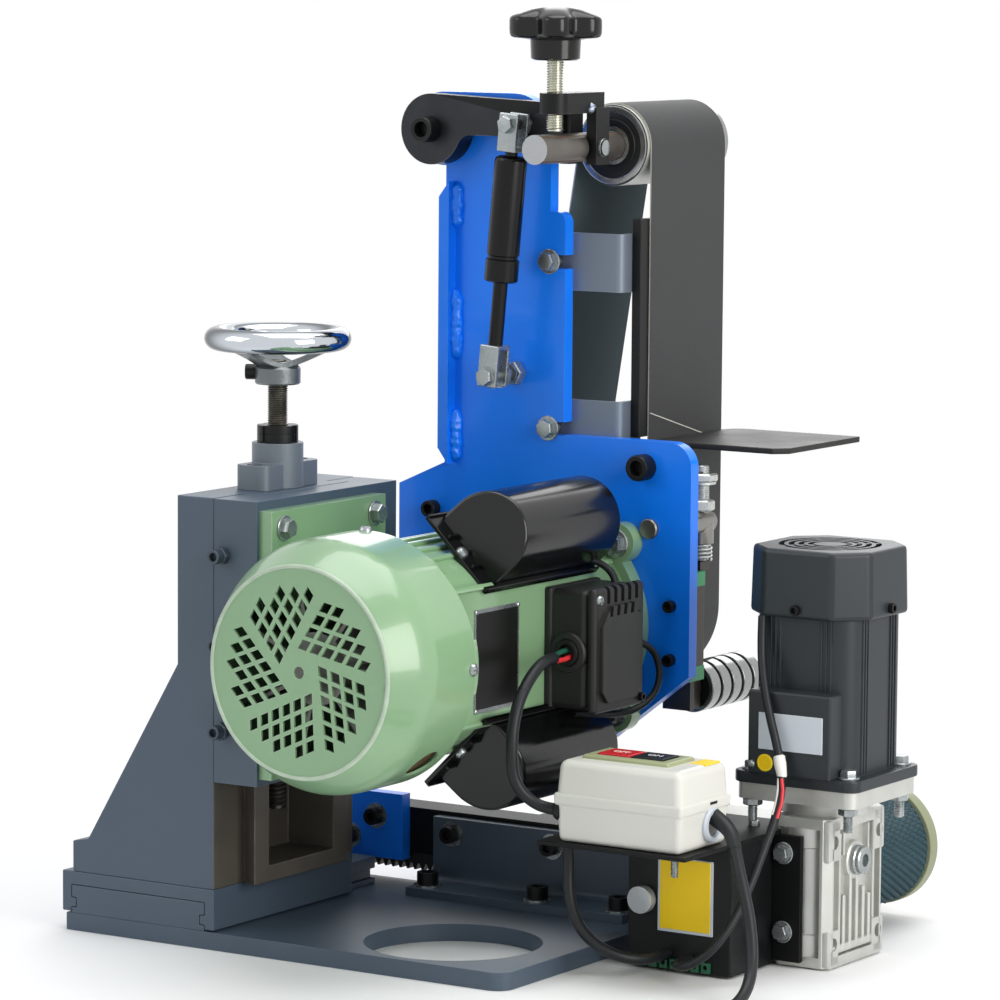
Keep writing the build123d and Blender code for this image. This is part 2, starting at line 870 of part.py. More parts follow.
def motor_pieces(bolts):
    foot_left_x = carriage_right
    foot_right_x = foot_left_x + foot_plate_thick
    frame_bore = frame_r - frame_wall
    foot = block(foot_left_x, foot_right_x, foot_plate_front, foot_plate_back,
                 motor_z - foot_plate_height / 2, motor_z + foot_plate_height / 2)
    for side in (-1, 1):
        web_z = motor_z + side * foot_web_spread
        foot += block(foot_right_x, motor_x - frame_bore / 2, foot_web_front, foot_plate_back,
                      web_z - foot_web_thick / 2, web_z + foot_web_thick / 2)
        for y in (foot_bolt_front, foot_bolt_back):
            place = seat(foot_right_x, y, motor_z + side * foot_bolt_rise, (1, 0, 0))
            foot -= drill(place, bolt_m10, foot_plate_thick)
    frame = rod_y(motor_x, motor_z, frame_r, frame_front, flange_front) + foot
    frame -= rod_y(motor_x, motor_z, frame_bore, frame_front, flange_front)
    stator = disc(motor_x, motor_z, frame_bore) - disc(motor_x, motor_z, stator_bore_r)
    frame += along_y(stator, stator_front, stator_back)
    shield = disc(motor_x, motor_z, shield_r) - disc(motor_x, motor_z, shaft_r + running_gap)
    frame += along_y(shield, frame_front, frame_front + shield_thick)
    cover_bore = cover_r - cover_wall
    rim = disc(motor_x, motor_z, cover_bore - seat_gap) - disc(motor_x, motor_z, frame_bore)
    frame += along_y(rim, frame_front - 2 * cover_wall, frame_front + cover_wall)

    flange_back = flange_front + flange_thick
    face = disc(motor_x, motor_z, flange_r)
    for quarter in range(4):
        turn = math.radians(45 + 90 * quarter)
        x = motor_x + bolt_circle_r * math.cos(turn)
        z = motor_z + bolt_circle_r * math.sin(turn)
        face += disc(x, z, ear_r)
    flange = along_y(face, flange_front, flange_back)
    flange += rod_y(motor_x, motor_z, spigot_r, flange_back, flange_back + spigot_depth)
    flange += rod_y(motor_x, motor_z, frame_bore - seat_gap, flange_front - frame_wall, flange_front)
    flange -= rod_y(motor_x, motor_z, shaft_r + running_gap, flange_front - frame_wall,
                    flange_back + spigot_depth)
    for quarter in range(4):
        turn = math.radians(45 + 90 * quarter)
        place = seat(motor_x + bolt_circle_r * math.cos(turn), flange_front,
                     motor_z + bolt_circle_r * math.sin(turn), (0, -1, 0))
        bolts.append(hex_screw(place, bolt_m10, flange_thick + plate_thick))
        flange -= drill(place, bolt_m10, flange_thick)

    axis = Plane((motor_x, 0, motor_z), x_dir=(1, 0, 0), z_dir=(0, 1, 0))
    shoulder = cover_front + cover_shoulder
    cover = turned(axis, (0, cover_front), (cover_disc_r, cover_front), (cover_r, shoulder),
                   (cover_r, frame_front), (cover_bore, frame_front), (cover_bore, shoulder),
                   (cover_disc_r - cover_wall, cover_front + cover_wall), (0, cover_front + cover_wall))
    vents = disc(motor_x, motor_z, cover_eye_r)
    centre = Vector(motor_x, motor_z)
    for sector in range(vent_sectors):
        angle = vent_first_angle + 360 * sector / vent_sectors
        first = centre + Vector(vent_first_r, 0).rotate(Axis.Z, angle)
        across = Vector(vent_row_step, 0).rotate(Axis.Z, angle - vent_row_turn)
        along = Vector(vent_place_step, 0).rotate(Axis.Z, angle - vent_place_turn)
        side = across * (vent_fill / 2)
        end = along * (vent_fill / 2)
        for row in range(vent_rows):
            for place in range(vent_places):
                middle = first + across * row + along * place
                if (middle - centre).length < vent_limit_r:
                    vents += outline(middle - side - end, middle + side - end,
                                     middle + side + end, middle - side + end)
    cover -= along_y(vents, cover_front, cover_front + cover_wall)
    port = axis * Pos(0, 0, cover_port_y) * Rot(0, 0, cover_port_sweep) * Rot(0, 90, 0)
    cover -= port * extrude(Circle(cover_port_r), cover_r)

    wheel_front = belt_front
    wheel_back = belt_front + belt_width
    shaft = rod_y(motor_x, motor_z, shaft_r, fan_front, wheel_back)
    shaft += rod_y(motor_x, motor_z, rotor_r, stator_front, stator_back)
    fan = rod_y(motor_x, motor_z, fan_hub_r, fan_front, fan_back)
    for blade in range(fan_blades):
        vane = Pos(0, fan_blade_thick / 2) * Pos(fan_r / 2, 0) * Rectangle(fan_r, fan_blade_thick)
        turned_vane = Pos(motor_x, motor_z) * Rot(0, 0, 360 * blade / fan_blades) * vane
        fan += along_y(turned_vane, fan_front, fan_back)
    shaft += fan

    mid = (wheel_front + wheel_back) / 2
    bore = shaft_r + running_gap
    rim_bore = wheel_drive_r - wheel_drive_rim
    half_web = wheel_drive_web / 2
    drive = turned(axis, (bore, wheel_front), (wheel_drive_hub_r, wheel_front),
                   (wheel_drive_hub_r, mid - half_web), (rim_bore, mid - half_web),
                   (rim_bore, wheel_front), (wheel_drive_r, wheel_front), (wheel_drive_r, wheel_back),
                   (rim_bore, wheel_back), (rim_bore, mid + half_web),
                   (wheel_drive_hub_r, mid + half_web), (wheel_drive_hub_r, wheel_back),
                   (bore, wheel_back))
    return {"motor_frame": frame, "motor_flange": flange, "fan_cover": cover, "motor_shaft": shaft,
            "drive_wheel": drive}


def motor_box_pieces():
    clear = rod_y(motor_x, motor_z, frame_r + seat_gap, frame_front, flange_front)
    box = block(box_inner, box_outer, box_front, box_back, box_low, box_high) - clear
    box -= block(motor_x + frame_r + box_wall, box_outer, box_front + box_wall, box_back - box_wall,
                 box_low + box_wall, box_high - box_wall)
    box += rod_y(gland_x, gland_z, gland_r, box_front - gland_length, box_front)

    lid = block(box_outer, box_outer + lid_thick, box_front, box_back, box_low, box_high)
    step = (box_high - box_low) / lid_ribs
    for rib in range(lid_ribs):
        z = box_low + step * (rib + 0.5)
        lid += block(box_outer + lid_thick, box_outer + lid_thick + lid_rib, box_front + box_wall,
                     box_back - box_wall, z - step / 4, z + step / 4)

    covers = []
    for side in (1, -1):
        shape = disc(motor_x + capacitor_out_x, motor_z + side * capacitor_out_z, capacitor_r)
        covers.append(along_y(shape, capacitor_front, capacitor_back) - clear)
    leads = [tube(lead_low_route, lead_d, "lower capacitor lead"),
             tube(lead_high_route, lead_d, "upper capacitor lead")]
    return {"terminal_box": box, "terminal_lid": lid, "capacitor_covers": covers,
            "capacitor_leads": leads}


def head_pieces(bolts):
    shape = outline(
        (plate_left, plate_low), (plate_left, plate_knee), (plate_neck, plate_waist),
        (plate_neck, plate_top), (plate_top_right, plate_top), (plate_top_right, plate_step),
        (plate_step_right, plate_step), (plate_step_right, plate_shelf), (plate_right, plate_shelf),
        (plate_right, plate_skirt), (plate_toe, plate_low))
    shape = rounded(shape, plate_top_right, plate_top, plate_top_radius)
    shape = rounded(shape, plate_right, plate_shelf, plate_shelf_radius)
    shape = rounded(shape, plate_step_right, plate_step, plate_step_radius)
    shape += disc(pivot_x, pivot_z, pivot_lug_r)
    shape -= disc(motor_x, motor_z, spigot_r + seat_gap)
    plate = along_y(shape, plate_front, plate_back)
    rib_right = plate_neck + rib_width
    rib = outline((plate_neck, plate_waist + rib_cut), (plate_neck, rib_high - rib_cut), (rib_right, rib_high),
                  (rib_right, plate_waist))
    plate += along_y(rib, plate_front - rib_proud, plate_front)
    for quarter in range(4):
        turn = math.radians(45 + 90 * quarter)
        x = motor_x + bolt_circle_r * math.cos(turn)
        z = motor_z + bolt_circle_r * math.sin(turn)
        plate -= rod_y(x, z, bolt_m10 / 2 + screw_gap, plate_front, plate_back)
    plate -= rod_y(pivot_x, pivot_z, pivot_r + screw_gap, plate_front, plate_back)

    face = belt_x - belt_thick - belt_gap
    platen_left = face - platen_thick
    platen = block(platen_left, face, platen_front, platen_back, platen_low, platen_high)

    plan = pane(bracket_left, platen_left, plate_back, plate_back + bracket_thick)
    plan += pane(platen_left - bracket_thick, platen_left, plate_back, platen_front + bracket_lap)
    plan = rounded(plan, platen_left, plate_back, bracket_bend)
    brackets = []
    for z in bracket_heights:
        bracket = along_z(plan, z - bracket_height / 2, z + bracket_height / 2)
        bracket -= rod_y(bracket_bolt_x, z, bolt_m8 / 2 + screw_gap, plate_back, plate_back + bracket_thick)
        brackets.append(bracket)
        place = seat(bracket_bolt_x, plate_front, z, (0, -1, 0))
        bolts.append(hex_screw(place, bolt_m8, plate_thick + bracket_thick))
        plate -= rod_y(bracket_bolt_x, z, bracket_slot / 2, plate_front, plate_back)
        plate -= block(bracket_bolt_x, plate_step_right, plate_front, plate_back,
                       z - bracket_slot / 2, z + bracket_slot / 2)

    table = pane(table_left, table_right, table_front, table_back)
    table = chamfer(table.vertices().sort_by_distance((table_right, table_front, 0))[0], table_chamfer)
    table = rounded(table, table_left, table_back, table_round)
    table = along_z(table, table_top - table_thick, table_top)
    table += block(table_foot_left, table_foot_left + table_foot_width, plate_back, table_foot_back,
                   table_foot_low, table_top - table_thick)
    screws = []
    place = seat(table_screw_x, plate_front, table_screw_z, (0, -1, 0))
    grip = plate_thick + table_screw_size
    screws.append(socket_screw(place, table_screw_size, grip))
    plate -= drill(place, table_screw_size, plate_thick)
    table -= drill(place, table_screw_size, grip + screw_gap)

    guide_left = guide_x - guide_width / 2
    plan = pane(guide_left, guide_left + guide_width, plate_back, guide_back)
    half = tongue_width / 2 + slide_gap
    foot_half = tongue_foot / 2 + slide_gap
    plan -= pane(guide_x - half, guide_x + half, tongue_front - slide_gap, guide_back)
    plan -= pane(guide_x - foot_half, guide_x + foot_half, tongue_front - slide_gap,
                 tongue_step + slide_gap)
    guide = along_z(plan, guide_low, guide_high)
    for z in guide_screw_heights:
        place = seat(guide_x + guide_screw_x, plate_front, z, (0, -1, 0))
        grip = plate_thick + guide_screw_size
        screws.append(socket_screw(place, guide_screw_size, grip))
        plate -= drill(place, guide_screw_size, plate_thick)
        guide -= drill(place, guide_screw_size, grip + screw_gap)

    anchor = rod_y(stud_x, anchor_z, anchor_r, plate_back, anchor_back)
    anchor += rod_z(stud_x, stud_y, anchor_seat_r, anchor_seat_low, anchor_z)
    anchor -= rod_z(stud_x, stud_y, stud_r + slide_gap, anchor_seat_low, anchor_z + anchor_r)
    screws.append(anchor)
    pivot = rod_y(pivot_x, pivot_z, pivot_r, arm_front - slide_gap, plate_back)
    pivot += rod_y(pivot_x, pivot_z, pivot_head_r, arm_front - slide_gap - pivot_head,
                   arm_front - slide_gap)
    socket = Pos(pivot_x, pivot_z) * RegularPolygon(pivot_socket_r, 6)
    pivot -= along_y(socket, arm_front - slide_gap - pivot_head, arm_front - slide_gap - pivot_head / 2)
    screws.append(pivot)

    belt = along_y(belt_loop(belt_gap + belt_thick) - belt_loop(belt_gap), belt_front,
                   belt_front + belt_width)
    return {"head_plate": plate, "platen_brackets": brackets, "platen": platen, "work_table": table,
            "guide_block": guide, "abrasive_belt": belt}, screws


def arm_pieces():
    bar_left = idler_x - bar_width / 2
    bar_right = idler_x + bar_width / 2
    boss_edge = pivot_x + math.sqrt(arm_boss_r ** 2 - (pivot_z - arm_low) ** 2)
    profile = outline((pivot_x, pivot_z + arm_boss_r), (bar_left, arm_high), (bar_left, arm_low),
                      (pivot_x, arm_low))
    profile += disc(pivot_x, pivot_z, arm_boss_r)
    profile = rounded(profile, boss_edge, arm_low, arm_fillet)
    arm = along_y(profile, arm_front, arm_back)
    arm += rod_y(pivot_x, pivot_z, arm_boss_r, arm_front, plate_front - slide_gap)
    plan = pane(bar_left, bar_right, bar_tip, cheek_back) + disc(idler_x, bar_tip, bar_width / 2)
    arm += along_z(plan, bar_low, bar_high)
    outer = cheek_half_gap + cheek_thick
    for x in (idler_x - outer, idler_x + cheek_half_gap):
        arm += block(x, x + cheek_thick, cheek_front, cheek_back, cheek_low, cheek_high)
    arm += rod_x(axle_pin_y, idler_z, axle_pin_r, idler_x - outer, idler_x + outer)
    arm += rod_x(axle_pin_y, idler_z, axle_pin_head_r, idler_x + outer, idler_x + outer + axle_pin_head)
    arm -= rod_y(pivot_x, pivot_z, pivot_r + running_gap, arm_front, plate_front)
    arm -= rod_z(idler_x, bar_tip, tracking_r + running_gap, bar_low, bar_high)
    arm += rod_y(spring_high_x, spring_high_z, spring_pin_r, spring_pin_front, arm_front)

    place = Plane((idler_x, 0, idler_z), x_dir=(1, 0, 0), z_dir=(0, 1, 0))
    axle = rod_y(idler_x, idler_z, axle_r, axle_front, roller_back)
    axle -= rod_x(axle_pin_y, idler_z, axle_pin_r + running_gap, idler_x - axle_r, idler_x + axle_r)
    flat = cheek_half_gap - slide_gap
    for low, high in ((idler_x - axle_r, idler_x - flat), (idler_x + flat, idler_x + axle_r)):
        axle -= block(low, high, cheek_front - axle_flat_margin, cheek_back + axle_flat_margin,
                      idler_z - axle_r, idler_z + axle_r)
    bore = axle_r + running_gap
    roller = turned(place, (bore, roller_front), (idler_r, roller_front), (idler_r, roller_back),
                    (roller_recess_r, roller_back), (roller_recess_r, roller_back - roller_recess),
                    (bore, roller_back - roller_recess))

    rod_tip = idler_z + axle_r + tracking_gap
    rod = rod_z(idler_x, bar_tip, tracking_r, rod_tip, knob_low + knob_hub_height + knob_height / 2)
    knob_plan = disc(idler_x, bar_tip, knob_core_r)
    for lobe in range(knob_lobes):
        turn = 2 * math.pi * lobe / knob_lobes
        reach = knob_r - knob_lobe_r
        knob_plan += disc(idler_x + reach * math.cos(turn), bar_tip + reach * math.sin(turn), knob_lobe_r)
    knob_mid = knob_low + knob_hub_height
    knob = along_z(knob_plan, knob_mid, knob_mid + knob_height)
    knob += rod_z(idler_x, bar_tip, knob_hub_r, knob_low, knob_mid)
    knob -= rod_z(idler_x, bar_tip, tracking_r + running_gap, knob_low, knob_mid + knob_height / 2)
    return {"tension_arm": arm, "idler_axle": axle, "idler_roller": roller, "tracking_rod": rod,
            "tracking_knob": knob}


def gas_spring_pieces():
    dx = spring_high_x - spring_low_x
    dz = spring_high_z - spring_low_z
    length = math.hypot(dx, dz)
    spring_tube_high = length - spring_neck
    axis = Plane((spring_low_x, spring_y, spring_low_z), x_dir=(0, 1, 0), z_dir=(dx, 0, dz))
    half = spring_eye_width / 2
    rod = rod_y(spring_low_x, spring_low_z, spring_eye_r, spring_y - half, spring_y + half)
    rod += axis * along_z(pane(-half, half, -half, half), 0, spring_fork)
    rod += axis * rod_z(0, 0, spring_rod_r, 0, spring_tube_low + spring_fork)
    rod += rod_y(spring_low_x, spring_low_z, spring_pin_r, spring_pin_front, plate_front)
    rod += rod_y(spring_low_x, spring_low_z, 2 * spring_pin_r, plate_front - spring_fork / 2, plate_front)

    eye = rod_y(spring_high_x, spring_high_z, spring_eye_r, spring_y - half, spring_y + half)
    eye += axis * along_z(pane(-half, half, -half, half), spring_tube_high, length)
    tube_body = axis * rod_z(0, 0, spring_r, spring_tube_low, spring_tube_high) + eye
    tube_body -= rod_y(spring_high_x, spring_high_z, spring_pin_r + spring_pin_gap, spring_y - half,
                       spring_y + half)
    tube_body -= axis * rod_z(0, 0, spring_rod_r + running_gap, spring_tube_low,
                              spring_tube_high - spring_rod_r)
    return {"gas_rod": rod, "gas_cylinder": tube_body}


def support_pieces():
    half = tongue_width / 2
    foot_half = tongue_foot / 2
    plan = pane(guide_x - half, guide_x + half, tongue_front, tongue_back)
    plan += pane(guide_x - foot_half, guide_x + foot_half, tongue_front, tongue_step)
    slide = along_z(plan, tongue_low, tongue_high)
    lug_top = tongue_high + lug_height
    slide += block(guide_x - half, lug_right, lug_front, tongue_back, tongue_high, lug_top)
    slide += rod_z(stud_x, stud_y, stud_r, lug_top, stud_top)
    for z in (anchor_z + anchor_r + seat_gap, stud_nut_high):
        nut = Pos(stud_x, stud_y) * Rot(0, 0, 30) * RegularPolygon(stud_nut_width / math.sqrt(3), 6)
        slide += along_z(nut, z, z + stud_nut_height)
    step = support_bearing_width + support_spacer
    last = support_front + support_bearings_count * step - support_spacer
    slide += rod_y(guide_x, support_z, support_axle_r, tongue_back, last + support_spacer)
    rings = []
    for index in range(support_bearings_count):
        y = support_front + index * step
        ring = disc(guide_x, support_z, support_bearing_r)
        ring -= disc(guide_x, support_z, support_axle_r + running_gap)
        rings.append(along_y(ring, y, y + support_bearing_width))
        gap_front = y + support_bearing_width + seat_gap
        collar_back = gap_front + support_spacer - 2 * seat_gap
        slide += rod_y(guide_x, support_z, support_spacer_r, gap_front, collar_back)

    low = lug_top + spring_wire_r + seat_gap
    high = anchor_seat_low - spring_wire_r - seat_gap
    coil_pitch_z = (high - low) / spring_turns
    path = Pos(stud_x, stud_y, low) * Helix(coil_pitch_z, high - low, spring_coil_r)
    wire = Plane(path @ 0, z_dir=path % 0) * Circle(spring_wire_r)
    spring = sweep(wire, path)
    print("support spring gap between curls", round(coil_pitch_z - 2 * spring_wire_r, 2))
    return {"support_slide": slide, "support_bearings": rings, "support_spring": spring}


def rack_teeth():
    """The rack's lower edge, teeth down, with a gap over the pinion's middle."""
    half_pitch = pitch / 4
    lean = math.tan(math.radians(pressure_angle))
    tip = half_pitch - module * lean
    root = half_pitch + dedendum * module * lean
    count = int((rack_right - pinion_x) / pitch - 1)
    first = -int((pinion_x - bed_left) / pitch - 1)
    points = [(bed_left, rack_back_z), (bed_left, rack_root_z)]
    for index in range(first, count):
        middle = pinion_x + pitch * (index + 0.5)
        points += [(middle - root, rack_root_z), (middle - tip, rack_tip_z),
                   (middle + tip, rack_tip_z), (middle + root, rack_root_z)]
    return outline(*points, (rack_right, rack_root_z), (rack_right, rack_back_z))


def rack_pieces():
    rack_mid = rack_front + rack_width / 2
    rack = along_y(rack_teeth(), rack_front, rack_front + rack_width)
    head_z = rack_back_z + rack_neck_height
    rack += block(bed_left, rack_right, rack_mid - rack_neck / 2, rack_mid + rack_neck / 2,
                  rack_back_z, head_z)
    rack += block(bed_left, rack_right, rack_mid - rack_head / 2, rack_mid + rack_head / 2,
                  head_z, head_z + rack_head_height)

    root_r = pinion_pitch_r - dedendum * module
    tip_r = pinion_pitch_r + module - pinion_backlash / 2
    tooth_low = root_r - pinion_root_half
    tooth = outline((-pinion_root_half, tooth_low), (-pinion_tip_half, tip_r), (pinion_tip_half, tip_r),
                    (pinion_root_half, tooth_low))
    wheel = Circle(root_r)
    for index in range(pinion_teeth):
        wheel += Rot(0, 0, 360 * index / pinion_teeth) * tooth
    pinion = along_y(Pos(pinion_x, pinion_z) * wheel, pinion_front, rack_front + rack_width)
    pinion += rod_y(pinion_x, pinion_z, pinion_shaft_r, rack_front + rack_width, pinion_knob_back)
    pinion += rod_y(pinion_x, pinion_z, pinion_knob_r, pinion_knob_front, pinion_knob_back)
    return {"rack_bar": rack, "pinion": pinion}


def feed_pieces():
    plate_back_y = feed_plate_front + feed_plate_thick
    bracket = block(rack_right, feed_plate_right, feed_plate_front, plate_back_y, feed_low, shelf_low)
    bracket += block(rack_right, feed_left, feed_plate_front, feed_flange_back, feed_low, shelf_low)
    bracket += block(shelf_left, shelf_right, shelf_front, plate_back_y, shelf_low, shelf_top)
    bracket += block(rack_right, shelf_rear_right, plate_back_y, gearbox_front + neck_r, shelf_low, shelf_top)

    case = block(gearbox_step_x, gearbox_right, gearbox_front, gearbox_back, gearbox_low, gearbox_high)
    case = chamfer(case.edges().filter_by(Axis.Z), gearbox_chamfer)
    case += block(feed_left, gearbox_step_x, gearbox_front + gearbox_inset, gearbox_back - gearbox_inset,
                  gearbox_low + gearbox_inset, gearbox_step_high)
    case += rod_y(output_x, output_z, output_boss_r, gearbox_front, gearbox_back + output_boss_width)
    half_wheel = worm_wheel_width / 2 + worm_wheel_gap
    case -= rod_y(output_x, output_z, worm_wheel_r + worm_wheel_gap, worm_y - half_wheel,
                  worm_y + half_wheel)
    case += rod_z(worm_x, worm_y, neck_r, gearbox_high, neck_high)
    face = Pos(worm_x, worm_y) * fillet(Rectangle(gear_flange, gear_flange).vertices(), gear_flange_round)
    case += along_z(face, neck_high, silver_high)
    case -= rod_z(worm_x, worm_y, worm_bore_r, worm_bore_low, silver_high)
    case -= rod_y(output_x, output_z, output_r + running_gap, gearbox_front, gearbox_back + output_boss_width)

    motor = along_z(face, silver_high, black_high)
    motor += rod_z(worm_x, worm_y, gear_body_r, black_high, gear_body_high)
    cover = chamfer(Rectangle(2 * gear_body_r, 2 * gear_body_r).vertices(), gear_cover_chamfer)
    motor += along_z(Pos(worm_x, worm_y) * cover, gear_body_high, gear_cover_high)
    motor += block(worm_x - gear_box_width / 2, worm_x + gear_box_width / 2,
                   worm_y - gear_body_r - gear_box_proud, worm_y, black_high, gear_box_high)
    motor -= rod_z(worm_x, worm_y, worm_bore_r, silver_high, worm_top + worm_r)

    worm = rod_z(worm_x, worm_y, worm_r, worm_low, worm_top)
    wheel = rod_y(output_x, output_z, output_r, gearbox_front + gearbox_inset, feed_wheel_back)
    wheel += rod_y(output_x, output_z, worm_wheel_r - slide_gap, worm_y - worm_wheel_width / 2,
                   worm_y + worm_wheel_width / 2)
    wheel += rod_y(output_x, output_z, feed_core_r, feed_wheel_front, feed_wheel_back)
    wheel += rod_y(output_x, output_z, feed_rim_r, feed_wheel_back, feed_wheel_back + feed_rim)
    tyre = disc(output_x, output_z, feed_wheel_r) - disc(output_x, output_z, feed_core_r)
    tyre = along_y(tyre, feed_wheel_front, feed_wheel_back)
    return {"feed_bracket": bracket, "gearbox": case, "gear_motor": motor, "worm_shaft": worm,
            "feed_wheel": wheel, "feed_tyre": tyre}


def control_pieces():
    case = block(control_left, control_right, control_front, feed_plate_front, control_low, shelf_low)
    case = fillet(case.edges().filter_by(Axis.Z), control_edge)
    case -= rod_y(dial_x, dial_z, dial_stem_r + running_gap, control_front, control_front + dial_stem)
    dial = rod_y(dial_x, dial_z, dial_r, control_front - dial_length - slide_gap, control_front - slide_gap)
    dial += rod_y(dial_x, dial_z, dial_stem_r, control_front - slide_gap, control_front + dial_stem)

    plan = pane(switch_left, switch_right, switch_front, switch_back)
    plan = fillet(plan.vertices(), switch_round)
    inner = pane(switch_left + switch_wall, switch_right - switch_wall, switch_front + switch_wall,
                 switch_back - switch_wall)
    box = along_z(plan, shelf_top, switch_seam) - along_z(inner, shelf_top + switch_wall, switch_seam)
    box -= rod_x(inlet_y, inlet_z, inlet_r, switch_left, switch_left + switch_wall)
    box += rod_x(outlet_y, outlet_z, outlet_r, switch_right, switch_right + outlet_length)
    lid = along_z(plan, switch_seam, switch_high)
    lid -= along_z(inner, switch_seam, switch_high - switch_wall)
    buttons = {}
    for name, x in (("off_button", off_x), ("on_button", on_x)):
        window = Pos(x, button_y) * Rectangle(button_width + 2 * button_gap, button_depth + 2 * button_gap)
        lid -= along_z(window, switch_high - switch_wall, switch_high)
        cap = Pos(x, button_y) * fillet(Rectangle(button_width, button_depth).vertices(), button_round)
        buttons[name] = along_z(cap, switch_high - button_sink, switch_high + button_proud)
    return {"speed_controller": case, "speed_knob": dial, "switch_box": box, "switch_lid": lid, **buttons}


def coil_path():
    """Loops laid as half circles: a spiral inwards on the floor, a climb, and a spiral outwards."""
    radii = [coil_least_r + coil_pitch * step / 2 for step in range(2 * coil_turns, 0, -1)]
    x, y, z = mains_route[-1]
    runs = [Line((x, y, z), (x, y - mains_d, z))]
    y -= mains_d
    side = 1
    for index, radius in enumerate(radii + [coil_least_r] + radii[:0:-1]):
        climb = coil_pitch if index == len(radii) else 0
        end = (x + 2 * side * radius, y, z + climb)
        bulge = y - side * math.hypot(radius, climb / 2)
        runs.append(ThreePointArc((x, y, z), (x + side * radius, bulge, z + climb / 2), end))
        x, y, z = end
        side = -side
    runs.append(Line((x, y, z), (x, y - coil_tail, z)))
    return Wire(runs), Vector(x, y - coil_tail, z)


def coil_gap(path):
    """The least gap between turns, on points along the path."""
    count = 600
    spots = [path.position_at(index / count) for index in range(count + 1)]
    apart = int(4 * mains_d / (path.length / count))
    nearest = min((spots[i] - spots[j]).length for i in range(count) for j in range(i + apart, count + 1))
    return nearest - mains_d


def plug_piece(tip):
    """A moulded two-pin plug lying on the floor at the lead's end."""
    x, y, z = tip.X, tip.Y, tip.Z
    half = plug_height / 2
    low = z - half
    body = block(x - plug_width / 2, x + plug_width / 2, y - plug_length, y, low, z + half)
    body = chamfer(body.edges().filter_by(Axis.Y), plug_chamfer)
    for side in (-1, 1):
        body += rod_y(x + side * plug_pin_spread / 2, z, plug_pin_r, y - plug_length - plug_pin_length,
                      y - plug_length)
    return body


def cord_pieces():
    motor = tube(motor_cord_route, motor_cord_d, "motor cable")
    control = tube(control_cord_route, control_cord_d, "control cable")
    gear = tube(gear_cord_route, gear_cord_d, "gear motor cable")
    lead = tube(mains_route, mains_d, "mains lead")
    path, tip = coil_path()
    coil = sweep(Plane(path @ 0, z_dir=path % 0) * Circle(mains_d / 2), path)
    print("lead coil length", round(path.length, 1), "least gap", round(coil_gap(path), 2))
    return {"motor_cable": motor, "control_cable": control, "gear_cable": gear, "mains_lead": lead,
            "lead_coil": coil, "mains_plug": plug_piece(tip)}


def all_pieces():
    nodes = {}
    nodes.update(base_pieces())
    nodes.update(column_pieces())
    nodes.update(lead_screw_pieces())
    carriage, gib_screws, bolts = carriage_pieces()
    nodes["carriage"] = carriage
    nodes.update(motor_pieces(bolts))
    nodes.update(motor_box_pieces())
    head, screws = head_pieces(bolts)
    nodes.update(head)
    nodes["hex_bolts"] = bolts
    nodes["socket_screws"] = gib_screws + screws
    nodes.update(arm_pieces())
    nodes.update(gas_spring_pieces())
    nodes.update(support_pieces())
    nodes.update(rack_pieces())
    nodes.update(feed_pieces())
    nodes.update(control_pieces())
    nodes.update(cord_pieces())
    return nodes


os.makedirs("parts", exist_ok=True)
for node, shape in all_pieces().items():
    solid = Compound(children=shape) if isinstance(shape, list) else shape
    export_step(solid, f"parts/{node}.step")
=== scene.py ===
# %% [markdown]
# # A belt polisher for round tube
# The imported model brings every rigid piece of the machine at its real size and place. This lesson
# dresses it: edges are rounded, moulded and cast pieces get their real forms, cords get their curves, and
# every surface gets a procedural finish. Nothing that the imported model holds is moved.

# %% Load the model
import json
import math

import bpy
from mathutils import Matrix, Vector

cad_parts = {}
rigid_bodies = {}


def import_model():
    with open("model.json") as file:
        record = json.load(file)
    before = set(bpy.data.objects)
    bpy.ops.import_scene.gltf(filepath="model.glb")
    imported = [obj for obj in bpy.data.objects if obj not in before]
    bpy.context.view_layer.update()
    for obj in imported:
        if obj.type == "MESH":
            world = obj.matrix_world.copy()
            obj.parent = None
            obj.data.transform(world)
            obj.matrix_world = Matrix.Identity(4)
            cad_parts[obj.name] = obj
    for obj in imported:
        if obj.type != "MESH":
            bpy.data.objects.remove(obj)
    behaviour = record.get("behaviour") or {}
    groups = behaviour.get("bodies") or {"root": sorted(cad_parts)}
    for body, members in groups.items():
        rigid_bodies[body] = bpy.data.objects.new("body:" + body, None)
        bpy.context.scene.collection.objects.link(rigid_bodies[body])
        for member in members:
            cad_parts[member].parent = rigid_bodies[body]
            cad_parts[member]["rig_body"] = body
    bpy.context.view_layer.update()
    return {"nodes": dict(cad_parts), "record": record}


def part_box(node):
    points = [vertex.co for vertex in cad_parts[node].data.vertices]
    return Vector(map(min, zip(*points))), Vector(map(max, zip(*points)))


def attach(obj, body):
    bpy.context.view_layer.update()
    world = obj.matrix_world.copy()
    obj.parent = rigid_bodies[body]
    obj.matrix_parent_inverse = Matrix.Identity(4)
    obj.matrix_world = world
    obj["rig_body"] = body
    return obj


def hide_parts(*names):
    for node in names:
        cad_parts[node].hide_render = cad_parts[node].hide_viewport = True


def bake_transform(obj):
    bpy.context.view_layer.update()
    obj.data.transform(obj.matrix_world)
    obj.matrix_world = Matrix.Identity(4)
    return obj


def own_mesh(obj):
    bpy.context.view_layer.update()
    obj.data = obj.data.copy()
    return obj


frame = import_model()
nodes = frame["nodes"]
MM = 0.001

# %% [markdown]
# ## Working by hand
# Blender's operators act on whatever is selected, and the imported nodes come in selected. Each helper here
# therefore lets go of everything first. Sizes are written in millimetres, as on a drawing.

